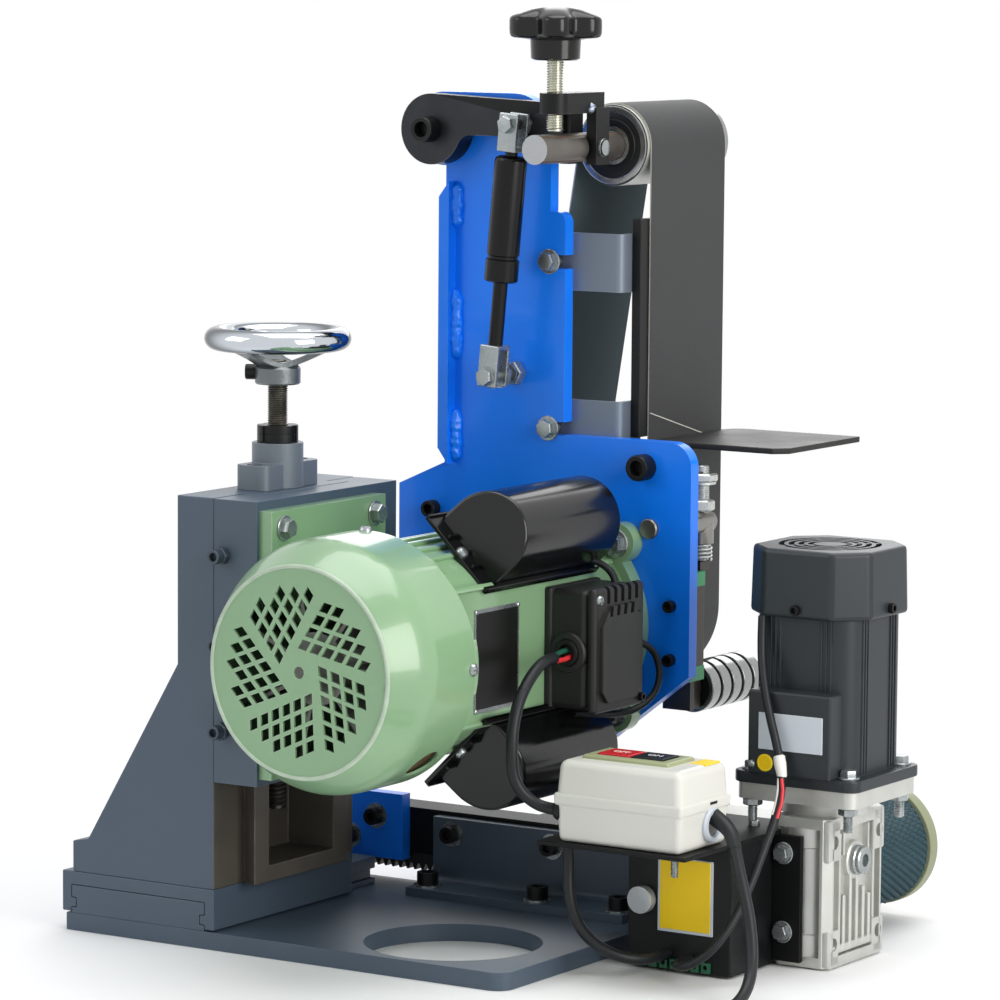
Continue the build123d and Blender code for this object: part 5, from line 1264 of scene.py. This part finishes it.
finished(knob, "tracking_knob_lobes", "knob_gloss", "tracking_knob", "black_plastic", ["tracking_knob"], angle=40)

# %% [markdown]
# ## Idler
# The axle is a raw bar with a sawn end. The roller's near end shows a sealed bearing: a bright outer race, a dark
# rubber seal and the rusty bar in the middle. Thin turned rings make them. The roller's own near face is painted dark
# grey: painted shade.

# %% Axle, roller and its bearing
IDLER = (98.0, 142.0, 536.5)
axle = soften("idler_axle", 0.7, "scaled_bar")
paint_faces(axle, "sawn_steel", lambda place, facing: facing.y < -0.9 and place.y < 43)
paint_faces(axle, "rusty_bar", lambda place, facing: 116 < place.y < 143)
# The roller's near end faces get a dark grey instead of cast aluminium: painted shade where that end lies in shade
paint_faces(soften("idler_roller", 0.7, "cast_aluminium"), "machined_grey",
            lambda place, facing: facing.y < -0.5 and place.y < 144)
race = lathe([(22.6, -1.5), (22.6, 0.5), (23.2, 0.8), (26.4, 0.8), (27.0, 0.4), (27.0, -1.5), (22.6, -1.5)],
             IDLER, FRONT, 72)
inner_race = lathe([(10.4, -1.5), (10.4, 0.7), (13.0, 0.7), (13.4, -1.5), (10.4, -1.5)], IDLER, FRONT, 64)
finished([race, inner_race], "idler_bearing_races", "race_steel", "idler", "aluminium")
seal = lathe([(13.2, -1.0), (13.2, 0.2), (15.0, 0.9), (17.6, 0.9), (18.0, 0.3), (21.4, 0.3), (22.8, -0.2),
              (22.8, -1.0), (13.2, -1.0)], IDLER, FRONT, 72)
finished(seal, "idler_bearing_seal", "black_rubber", "idler", "aluminium")
far_end = lathe([(26.6, 247), (27.2, 247.6), (27.2, 253), (26.4, 254), (12, 254)], (98.0, 0, 536.5), "Y", 72)
finished(far_end, "idler_far_end", "race_steel", "idler", "aluminium")

# %% [markdown]
# ## Gas spring
# A black cylinder with a wider gland at its lower end, a black rod and a zinc fork at each end. The parts are turned
# about the spring's own slanted axis, and the forks are bent straps: a block with its middle cut out.

# %% Cylinder, rod, forks and their bolts
SPRING_LOW, SPRING_HIGH = Vector((41.0, 80.0, 379.0)), Vector((56.7, 80.0, 551.7))
SPRING_WAY = (SPRING_HIGH - SPRING_LOW).normalized()
SPRING_LENGTH = (SPRING_HIGH - SPRING_LOW).length
ORIGIN = (0, 0, 0)
TUBE = [(10.4, 65.2), (11.6, 66.2), (11.6, 80.4), (10.3, 81.2), (10.3, 83.0), (11.2, 83.8), (11.2, 148), (10.4, 150.2),
        (8.2, 151.4), (4.2, 151.8), (4.2, 156)]


def on_spring(piece, *labels):
    """Moves a piece that was made upright at the origin to the spring's slanted axis and finishes it."""
    return finished(set_down(piece, SPRING_LOW, SPRING_WAY), *labels)


def fork(low, high, gap_low, gap_high):
    """A bent strap: legs from low to high, with a gap that leaves a bridge at one end."""
    strap = carve(block((-7.5, -8, low), (7.5, 8, high)), block((-9, -5, gap_low), (9, 5, gap_high)))
    return round_edges(strap, 1.0)


def beside(eye, y):
    """A place on the axis of a spring eye's pin."""
    return (eye.x, y, eye.z)


on_spring(lathe(TUBE, ORIGIN, steps=56), "gas_spring_tube", "spring_black", "gas_cylinder", "black_steel",
          ["gas_cylinder"])
fork_top = SPRING_LENGTH + 7.5
on_spring(fork(154.5, fork_top, 157.5, fork_top + 5), "gas_spring_upper_fork", "zinc_plate", "gas_cylinder",
          "black_steel", ["gas_cylinder"])
upper = [bolt_head(beside(SPRING_HIGH, 72), FRONT, 8, washer=False, twist=9),
         pin(3.9, 21, beside(SPRING_HIGH, 72), BACK, 24), nut(beside(SPRING_HIGH, 88), BACK, 8, 0.6, 20)]
finished(upper, "gas_spring_upper_bolt", "zinc_plate", "arm", "bright_steel")
on_spring(lathe([(4.6, 18), (5.0, 18.6), (5.0, 120)], ORIGIN, steps=40), "gas_spring_rod", "rod_black", "carriage",
          "bright_steel", ["gas_rod"])
on_spring(fork(-7.5, 21.5, -12.5, 18.5), "gas_spring_lower_fork", "zinc_plate", "carriage", "bright_steel", ["gas_rod"])
lower = [bolt_head(beside(SPRING_LOW, 72), FRONT, 8.4, washer=False, twist=4),
         pin(9.0, 1.4, beside(SPRING_LOW, 88), BACK), nut(beside(SPRING_LOW, 89.6), BACK, 8, 0.6, 11),
         pin(3.9, 40, beside(SPRING_LOW, 72), BACK, 24), pin(7.6, 1.6, beside(SPRING_LOW, 97.5), BACK),
         nut(beside(SPRING_LOW, 101.0), BACK, 9.6, 0.9, 24)]
finished(lower, "gas_spring_lower_bolt", "zinc_plate", "carriage", "bright_steel", ["gas_rod"])

# %% [markdown]
# ## Abrasive belt
# The belt is grit on cloth: dark and grainy outside, grey-green weave inside, with a pale cut edge. It has to stretch
# when the arm swings, and its upper bend has to tilt with the idler. A copy of the imported loop is sliced at many
# heights and parted at one of them, into a lower piece with the splice and an upper bend; neither is tied to a body.

# %% Belt
BELT_FLAT, BELT_PART, BELT_TOP = [(0.098, 0.195, z) for z in (0.489, 0.526, 0.5365)]
LOOP_LOW, LOOP_HIGH = Vector((72.0, 209.5)), Vector((98.0, 536.5))
belt = node_copy("abrasive_belt", "belt_loop")
bpy.ops.mesh.dissolve_limited(angle_limit=FLAT_ANGLE)
for height in (*range(262, 490, 12), *range(490, 538, 4)):
    bpy.ops.mesh.select_all(action="SELECT")
    bpy.ops.mesh.bisect(plane_co=(0, 0, height * MM), plane_no=UP)
leave_edit()
belt.data.materials.clear()
belt.data.materials.append(looks["abrasive_grit"])
shade(belt, 20)


def faces_in(place, facing):
    """True for faces that look at the line between the two wheels."""
    span = LOOP_HIGH - LOOP_LOW
    share = max(0.0, min(1.0, (place.xz - LOOP_LOW).dot(span) / span.length_squared))
    return facing.xz.dot(LOOP_LOW + span * share - place.xz) > 0.5


paint_faces(belt, "belt_cloth", lambda place, facing: abs(facing.y) < 0.5 and faces_in(place, facing))
paint_faces(belt, "cut_edge", lambda place, facing: abs(facing.y) > 0.5)
splice = block((127.1, -37.6, -0.35), (127.45, 37.6, 0.35))
splice.data.transform(at((0, 183, 343.2)) @ Matrix.Rotation(math.radians(-15.2), 4, "X"))
splice.data.materials.append(looks["pale_splice"])
wrap = linked("belt_bend", belt.data.copy())
for piece, lower in ((belt, True), (wrap, False)):
    edit(piece)
    bpy.ops.mesh.bisect(plane_co=(0, 0, BELT_PART[2]), plane_no=UP, clear_outer=lower, clear_inner=not lower)
    leave_edit()
belt = join(belt, splice)
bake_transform(belt)
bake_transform(wrap)
for piece in (belt, wrap):
    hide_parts("abrasive_belt")
print("belt faces", len(belt.data.polygons), len(wrap.data.polygons))

# %% [markdown]
# ## Platen, brackets, work table
# The platen is a black bar behind the belt on two bent grey brackets. The table is a plain black sheet with a worn
# sheen.

# %% Plates round the belt
soften_each(("platen", 0.6, "black_oxide"), ("platen_brackets", 0.5, "bracket_grey"),
            ("work_table", 0.7, "table_black"), ("drive_wheel", 0.8, "cast_aluminium"))

# %% [markdown]
# ## Sprung support
# Beside the belt a row of five ball bearings carries the tube. Their slide runs in a dark guide with green caps,
# under a threaded stud with a spring.

# %% Guide, slide, stud, spring and bearings
GUIDE_CAP = [(140.6, 120.2), (171.4, 120.2), (171.4, 149.4), (167.8, 149.4), (167.8, 137.0), (144.2, 137.0),
             (144.2, 149.4), (140.6, 149.4)]
STUD_X, STUD_Y, STUD_SHIFT = 167.0, 150.5, 5.0
STUD = (STUD_X, STUD_Y, 0.0)
SUPPORT = (156.0, 0.0, 163.0)
BEARINGS, BEARING_FRONT, BEARING_STEP = 5, 158.5, 14.5
SEAL = [(8.2, -0.15), (14.6, -0.15), (15.0, 0.4), (15.0, 10.6), (14.6, 11.15), (8.2, 11.15), (8.2, -0.15)]
soften("guide_block", 0.5, "scaled_steel")
finished([round_edges(sheet_metal(GUIDE_CAP, low, high), 0.7) for low, high in ((171.2, 181.5), (236.5, 246.8))],
         "guide_caps", "green_cap", "carriage", "black_steel")
soften("support_slide", 0.5, "scaled_steel")
stud = [thread(5.2, 1.5, 253.5, 319.0, STUD), nut((STUD_X, STUD_Y, 288.2), UP, 9.6, 0.75),
        nut((STUD_X, STUD_Y, 308.1), UP, 11.5, 0.5), lathe([(9.6, 306.4), (9.6, 308)], STUD, steps=32)]
finished(stud, "support_stud", "zinc_bright", "support", "bright_steel")
anchor = lathe([(8.0, 120), (8.0, 158), (7.0, 160.2), (4.0, 161.6), (0.6, 162)], (STUD_X, 0, 280), "Y", 40)
seat = lathe([(5.6, 265.5), (8.5, 265.5), (8.5, 279)], STUD, steps=32)
finished([anchor, seat], "support_anchor", "bare_steel", "carriage", "black_steel", ["socket_screws"])
spring = node_copy("support_spring", "support_coil")
leave_edit()
spring.data.transform(at((STUD_SHIFT, 0, 0)))
finished(spring, "support_coil", "zinc_bright", "carriage", "bright_steel", ["support_spring"], angle=60)
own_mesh(spring)
soften("support_bearings", 0.9, "race_steel", 3)
fronts = [BEARING_FRONT + BEARING_STEP * index for index in range(BEARINGS)]
finished([lathe([(radius, front + depth) for radius, depth in SEAL], SUPPORT, "Y", 48) for front in fronts],
         "support_bearing_seals", "black_rubber", "support_rollers", "bright_steel")

# %% [markdown]
# ## Slide bed, rack and feed bracket
# Black steel sections, the rack and the folded bracket keep their packed forms with rounded edges.

# %% Black steelwork under the feed unit
soften_each(("angle_bracket", 0.8, "grey_enamel"), ("slide_bed", 0.6, "black_powder"),
            ("rack_bar", 0.25, "scaled_steel"), ("pinion", 0.25, "bare_steel"), ("base_screws", 0.5, "black_oxide"),
            ("feed_bracket", 0.6, "black_powder"), ("worm_shaft", 0.3, "bare_steel"))
washers = [pin(10.0, 1.2, (x, 78.0, 18.0), UP, 36) for x in (-9, 82, 148)]
washers += [pin(9.0, 1.2, place, FRONT, 36)
            for place in ((-3, 100.0, 52.0), (80, 100.0, 52.0), (-66, 98.0, 59), (-88, 98.0, 43))]
finished(washers, "base_screw_washers", "zinc_plate", "base", "bright_steel")
bracket_bolts = [bolt_head((288, 56, 77), FRONT, 7.4, twist=10), bolt_head((288, 56, 24), FRONT, 7.4, twist=22),
                 bolt_head((262, 62, 92), UP, 5.0, washer=False, twist=5)]
finished(bracket_bolts, "feed_bracket_bolts", "zinc_plate", "feed", "bright_steel")
shelf_screws = [nut((255, -30, 85.6), UP, 5.4, 0.62), thread(2.6, 0.9, 70.5, 86.0, (255, -30, 0), 14),
                nut((196, 30, 85.6), UP, 5.4, 0.62), lathe([(2.4, 79), (2.4, 86)], (196, 30, 0), steps=16)]
finished(shelf_screws, "shelf_screws", "zinc_plate", "feed", "bright_steel")

# %% [markdown]
# ## Worm gearbox
# A die-cast aluminium case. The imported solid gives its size. The face towards the right has a sunk panel with cooling
# ribs, four lugs with bolt holes and an oil plug, and the front shows the round housing of the worm, so pockets are
# carved into a copy and ribs, lugs and housing are set into them.

# %% Case, lugs, ribs and plug
CASE_FLOOR = 312
LUGS = ((60.5, 1.5, 76, 26, 15), (122, 1.5, 137.5, 26, 15), (60.5, 72, 76, 100.5, 13), (122, 72, 137.5, 100.5, 13))
# middle, half width, lower and upper end, face, bevel and its segments of each upright rib
CASE_RIBS = (*((y, 1.7, 10, top, 319.4, 1.4, 3) for y, top in ((84, 48), (93, 60), (102, 61), (111, 50), (119, 44))),
             *((y, 1.2, 74, 92, 318.6, 1.0, 2) for y in (84, 118)),
             *((y, 1.6, 14, 90, 318.8, 1.2, 2) for y in (78.5, 125)))
FLANGE_BOLTS = ((260, 63), (332, 63), (260, 135), (332, 135))
carve(soften("gearbox", 0.9, "cast_aluminium"), block((314.5, 67, 8), (324, 131, 93)),
      block((281, 56, 8), (313, 69, 94)))
details = [carve(soft_block((CASE_FLOOR, y0, z0), (320, y1, z1), 1.6),
                 lathe([(4.6, -6), (4.6, 6)], (320, (y0 + y1) / 2, z0 + hole), RIGHT, 28))
           for y0, z0, y1, z1, hole in LUGS]
details += [soft_block((CASE_FLOOR, y - half, low), (face, y + half, high), bevel, segments)
            for y, half, low, high, face, bevel, segments in CASE_RIBS]
details += [soft_block((CASE_FLOOR, 70, 9), (319.0, 128, 15), 1.6),
            lathe([(13, -8), (13, -1.6), (12, -0.8)], (319.5, 101, 69), RIGHT, 40),
            lathe([(15.6, 5), (15.6, 22), (14.2, 23), (14.2, 80), (15.6, 81), (15.6, 95)], (297, 76, 0)),
            soft_block((296, 59.9, 28), (298.4, 64, 76), 0.9)]
finished(details, "gearbox_details", "cast_aluminium", "feed", "aluminium")
plug = lathe([(9.4, 0), (10.0, 0.6), (10.0, 2.6), (9.2, 3.4), (9.2, 5.8), (8.4, 6.6), (4.4, 6.6), (4.1, 2.6)],
             (318.6, 101, 69), RIGHT, 40)
finished(plug, "gearbox_oil_plug", "zinc_plate", "feed", "aluminium")
flange_bolts = []
for index, (x, y) in enumerate(FLANGE_BOLTS):
    flange_bolts += [bolt_head((x, y, 130), UP, 7.4, twist=9 + 14 * index),
                     nut((x, y, 105.6), UP, 7.0, 0.72, 8 * index), thread(3.4, 1.2, 94.0, 106.0, (x, y, 0), 14)]
finished(flange_bolts, "gear_flange_bolts", "zinc_plate", "feed", "bright_steel")

# %% [markdown]
# ## Gear motor
# A charcoal motor on a square flange. The body is an extrusion with grooved corners, the cover above it has eight
# sides and a louvred top, and the connection box carries a plate that stays blank. Flat outlines are pulled up and
# bevelled, and the grooves are thin ribs set on the faces.

# %% Flange, body, cover and connection box
GEAR_X, GEAR_Y = 296.0, 99.0
GEAR = (GEAR_X, GEAR_Y, 0)
EIGHT = [(26, 45.8), (45.8, 26), (45.8, -26), (26, -45.8), (-26, -45.8), (-45.8, -26), (-45.8, 26), (-26, 45.8)]
VENT_FLOOR, VENT_WIDTH = 275.4, 3.8
EARTH_DISC = [(5.8, 0), (5.8, 0.5), (5.2, 0.8), (4.7, 0.8), (4.5, 0.5)]


def gear_piece(piece, name, look, stands_for=(), angle=32):
    return finished(piece, name, look, "feed", "black_steel", stands_for, angle)


def round_square(half, radius, corner_steps=6):
    """A square outline with round corners about the motor's axis."""
    reach = (half - radius) * math.sqrt(2)
    points = []
    for quarter in range(4):
        mid = math.pi / 4 + quarter * math.pi / 2
        for step in range(corner_steps + 1):
            turn = math.pi / 2 * (quarter + step / corner_steps)
            points.append((GEAR_X + reach * math.cos(mid) + radius * math.cos(turn),
                           GEAR_Y + reach * math.sin(mid) + radius * math.sin(turn)))
    return points


def scale_end(piece, way, share, centre):
    """Scales the upper (1) or lower (-1) faces of a piece about a centre in millimetres."""
    pick_faces(piece, lambda place, facing: facing.z * way > 0.9)
    bpy.ops.transform.resize(value=(*share, 1), center_override=Vector(centre) * MM)
    leave_edit()


body = [round_edges(sheet_metal(round_square(47, 9), 122, 130), 1.2), sheet_metal(round_square(38.0, 15, 8), 129, 236)]
for quarter in range(4):
    for x in (-22.5, -19, -15.5, 15.5, 19, 22.5):
        flute = soft_block((GEAR_X + x - 0.9, GEAR_Y - 38.9, 131), (GEAR_X + x + 0.9, GEAR_Y - 36, 234), 0.6)
        body.append(turned(flute, 90 * quarter, GEAR))
body.append(soft_block((265, 46, 129.5), (327, 72, 186), 1.8, 3))
gear_piece(body, "gear_motor_body", "graphite_enamel", ["gear_motor"])
cover = sheet_metal([(GEAR_X + x, GEAR_Y + y) for x, y in EIGHT], 234, 279.4)
scale_end(cover, 1, (0.975, 0.975), GEAR)
round_edges(cover, 3.4, 4, 30)
for inner in (11, 17.5, 24, 30.5):
    outer = inner + VENT_WIDTH
    carve(cover, lathe([(inner, VENT_FLOOR), (outer, VENT_FLOOR), (outer, 284), (inner, 284), (inner, VENT_FLOOR)],
                       GEAR, steps=48))
bars = [turned(block((GEAR_X + 8, GEAR_Y - 2, 275), (GEAR_X + 35, GEAR_Y + 2, 279.1)), 45 + 90 * quarter, GEAR)
        for quarter in range(4)]
gear_piece(bars, "gear_motor_vent_bars", "graphite_enamel")
gear_piece(cover, "gear_motor_cover", "graphite_enamel", ["gear_motor"], angle=25)
gear_piece([turned(cap_screw((GEAR_X, GEAR_Y - 44.6, 240), FRONT, 4.6), 90 * quarter, GEAR) for quarter in range(4)],
           "gear_cover_screws", "black_oxide")
gear_piece(soft_block((273.5, 45.2, 147), (321.5, 46.4, 171.5), 0.5), "connection_plate", "white_label")
gear_piece(lathe(EARTH_DISC, (278.5, 46.1, 138), FRONT, 40), "earth_disc", "yellow_wrap")
gear_piece(pan_screw((268.6, 46.1, 136.5), FRONT, 2.6), "earth_screw", "zinc_plate")

# %% [markdown]
# ## Feed roller
# The rubber tyre has a coarse diamond knurl. A turned sleeve of many rings becomes one when all corners but every
# fourth, in staggered rows, are pulled in. A beige rim closes its far end.

# %% Knurled tyre and core
ROWS, TEETH = 40, 104
TYRE_X, TYRE_Z, TYRE_NEAR, TYRE_LENGTH = 256, 51, 146, 100
TYRE_R, TYRE_GROOVE_R, TYRE_BORE = 42.0, 39.6, 36.2
soften("feed_wheel", 0.8, "far_rim")
rings = [(TYRE_R, TYRE_NEAR + TYRE_LENGTH * row / ROWS) for row in range(ROWS + 1)]
tyre = lathe([(TYRE_BORE, TYRE_NEAR), *rings, (TYRE_BORE, TYRE_NEAR + TYRE_LENGTH), (TYRE_BORE, TYRE_NEAR)],
             (TYRE_X, 0, TYRE_Z), "Y", TEETH)
for corner in tyre.data.vertices:
    x, y, z = corner.co.x / MM - TYRE_X, corner.co.y / MM, corner.co.z / MM - TYRE_Z
    reach = math.hypot(x, z)
    row = round((y - TYRE_NEAR) * ROWS / TYRE_LENGTH)
    tooth = round(math.atan2(z, x) / (2 * math.pi) * TEETH)
    if reach > TYRE_R - 1 and not (row % 2 and (tooth + row // 2) % 2):
        corner.co.x = (TYRE_X + x * TYRE_GROOVE_R / reach) * MM
        corner.co.z = (TYRE_Z + z * TYRE_GROOVE_R / reach) * MM
finished(tyre, "feed_tyre_knurl", "teal_rubber", "feed_roller", "teal_rubber", ["feed_tyre"], angle=12)

# %% [markdown]
# ## Speed controller
# A black case under the shelf with a plain yellow plate, a silver dial and a row of green screw terminals.

# %% Controller
soften_each(("speed_controller", 1.2, "black_satin"), ("speed_knob", 0.6, "dial_silver"))
finished(soft_block((224.5, 0.3, 27), (266.5, 1.4, 77), 0.4), "controller_card", "white_label", "feed", "aluminium")
finished(soft_block((226.4, -0.1, 29), (264.6, 1.2, 76.4), 0.3), "controller_field", "yellow_wrap", "feed", "aluminium")
terminals = [carve(soft_block((x, -1.6, 2.4), (x + 6.2, 1.6, 9.4), 0.5),
                   lathe([(1.6, -3), (1.6, 3)], (x + 3.1, -1.6, 6.4), FRONT, 18)) for x in range(219, 260, 8)]
finished(terminals, "controller_terminals", "green_dark", "feed", "aluminium")

# %% [markdown]
# ## Switch box
# A cream moulding in two halves. The lower half narrows towards its foot, and the lid flares at the seam and narrows
# to its top: the end faces of two blocks are scaled before their edges are rounded. An olive bezel frames the
# two keys.

# %% Box, lid and bezel
FULL = (1.0, 1.0)
MAINS_ENTRY = (279, -24, 107)


def tapered(low, high, foot, top, radius):
    """A block whose lower and upper faces are scaled, with round edges."""
    piece = block(low, high)
    middle = (Vector(low) + Vector(high)) / 2
    scale_end(piece, -1, foot, middle)
    scale_end(piece, 1, top, middle)
    return round_edges(piece, radius, 5, 30)


def box_piece(piece, name, look, stands_for=(), angle=32):
    return finished(piece, name, look, "feed", "cream_plastic", stands_for, angle)


lower = tapered((184, -64, 92.1), (279, -1, 121.5), (0.97, 0.955), FULL, 4.0)
lip = tapered((182.9, -65.1, 116.2), (280.1, 0.1, 124.6), (0.995, 0.99), FULL, 2.2)
lid = tapered((183.6, -64.4, 119.6), (279.4, -0.6, 146.2), FULL, (0.965, 0.945), 5.6)
carve(lid, block((201.6, -44.4, 130), (254.4, -19.6, 150)))
carve(lower, lathe([(6.6, -8), (6.6, 8)], MAINS_ENTRY, RIGHT, 32))
box_piece(lower, "switch_box_lower", "cream_plastic", ["switch_box"])
box_piece([lid, lip], "switch_box_lid", "cream_plastic", ["switch_lid"])
bezel = block((194.5, -50, 144.0), (261.5, -14, 148.8))
scale_end(bezel, 1, (0.965, 0.93), (228, -32, 148.8))
round_edges(bezel, 1.4, 3, 30)
box_piece(carve(bezel, block((202.2, -43.8, 138), (253.8, -20.2, 150))), "switch_bezel", "olive_plastic")

# %% [markdown]
# ## Keys and words
# Two keys share the bezel, red for off and black for on. They carry the plain words OFF and ON, which are text made
# into a mesh.

# %% Keys
WORD_SIZE, WORD_Z = 7.0, 149.85


def word(text, x):
    """A flat word lying on a key, readable from the front."""
    free_hands()
    bpy.ops.object.text_add(location=(0, 0, 0))
    letters = bpy.context.object.data
    letters.body = text
    letters.size = WORD_SIZE * MM
    letters.align_x = "CENTER"
    letters.align_y = "CENTER"
    letters.extrude = 0.15 * MM
    bpy.ops.object.convert(target="MESH")
    return set_down(bpy.context.object, (x, -32, WORD_Z), "Z")


for name, left, right, look, slot, text in (("off_button", 202.8, 227.7, "red_plastic", "red_plastic", "OFF"),
                                            ("on_button", 228.3, 253.2, "key_black", "black_plastic", "ON")):
    key = tapered((left, -43.2, 134), (right, -20.8, 149.8), FULL, (0.97, 0.95), 1.0)
    finished(key, name + "_key", look, name, slot, [name])
    finished(word(text, (left + right) / 2), name + "_word", "white_letter", name, slot)

# %% Cable entries
RELIEF_LENGTH, RELIEF_INSIDE = 26 * MM, 9 * MM
ring = lathe([(6.8, -2), (11.4, -2), (11.6, 1.0), (10.6, 2.4), (8.0, 2.4), (7.0, 1.2), (6.8, -2)],
             MAINS_ENTRY, RIGHT, 48)
box_piece(ring, "mains_grommet", "white_label")
# A thin black block on the box's side stands for the latch slot: its dark inside is painted shade
box_piece(block((278.6, -28, 120.6), (280.2, -19, 122.4)), "lid_latch_slot", "black_satin")
reach = next(end for end in range(len(mains_line)) if line_length(mains_line[:end + 1]) > RELIEF_LENGTH)
inside = mains_line[0] - (mains_line[1] - mains_line[0]).normalized() * RELIEF_INSIDE
relief = tube_on("mains_strain_relief", [inside, *mains_line[:reach + 1]], 8.6, swell=1.3)
box_piece(relief, "mains_strain_relief", "cable_sheath", angle=50)
box_piece(soft_block((263.6, -27, 145.4), (275.6, -8, 146.5), 0.3), "lid_sticker", "yellow_wrap")
entry = lathe([(4.2, -3), (6.6, -3), (6.8, 0.6), (6.0, 2.0), (4.6, 2.0), (4.2, -3)], (184, -58, 112), LEFT, 36)
box_piece(entry, "motor_cord_entry", "black_rubber")

# %% [markdown]
# ## Where the cables begin
# Short bare wires show at the terminal box, and a white ferrule joins the thin lead of the gear motor to its sheath.
# They are too short to be cords, so they are small tubes along four points.

# %% Wires and ferrule
MOTOR_WIRE_D = 3.4
FERRULE = [(2.6, -7), (3.9, -6), (4.1, -1), (3.7, 3), (3.3, 7), (2.8, 8)]


def short_wire(name, diameter, look, body, *places):
    piece = tube_on(name, [Vector(place) * MM for place in places], diameter)
    finished(piece, name, look, body, "cable", angle=50)


short_wire("motor_wire_red", MOTOR_WIRE_D, "red_wire", "carriage",
           (147.6, 14, 201.6), (148.6, 4, 200.8), (149.4, -6, 201.0), (149.6, -16, 202.0))
short_wire("motor_wire_green", MOTOR_WIRE_D, "green_wire", "carriage",
           (145, 14, 205.6), (146.2, 4, 205.8), (147.6, -6, 205.0), (149, -16, 203.6))
finished(lathe(FERRULE, (295.5, 36.6, 139), (6, -3, -22), 24), "gear_lead_ferrule", "white_letter", "feed", "cable")
short_wire("gear_lead_red", 2.4, "red_wire", "feed",
           (298.4, 33.2, 131), (300.4, 31.4, 124), (300.8, 29.4, 116), (299.8, 25.0, 106))
short_wire("gear_lead_white", 2.2, "white_letter", "feed",
           (296.2, 33.4, 131), (297.2, 31.2, 124), (297.4, 28.6, 116), (296.6, 25.0, 108))
nodes["mains_plug"].data.materials.clear()
nodes["mains_plug"].data.materials.append(looks["black_moulding"])

# %% [markdown]
# ## The end
# The view layer is updated once more.

# %% Update
bpy.context.view_layer.update()
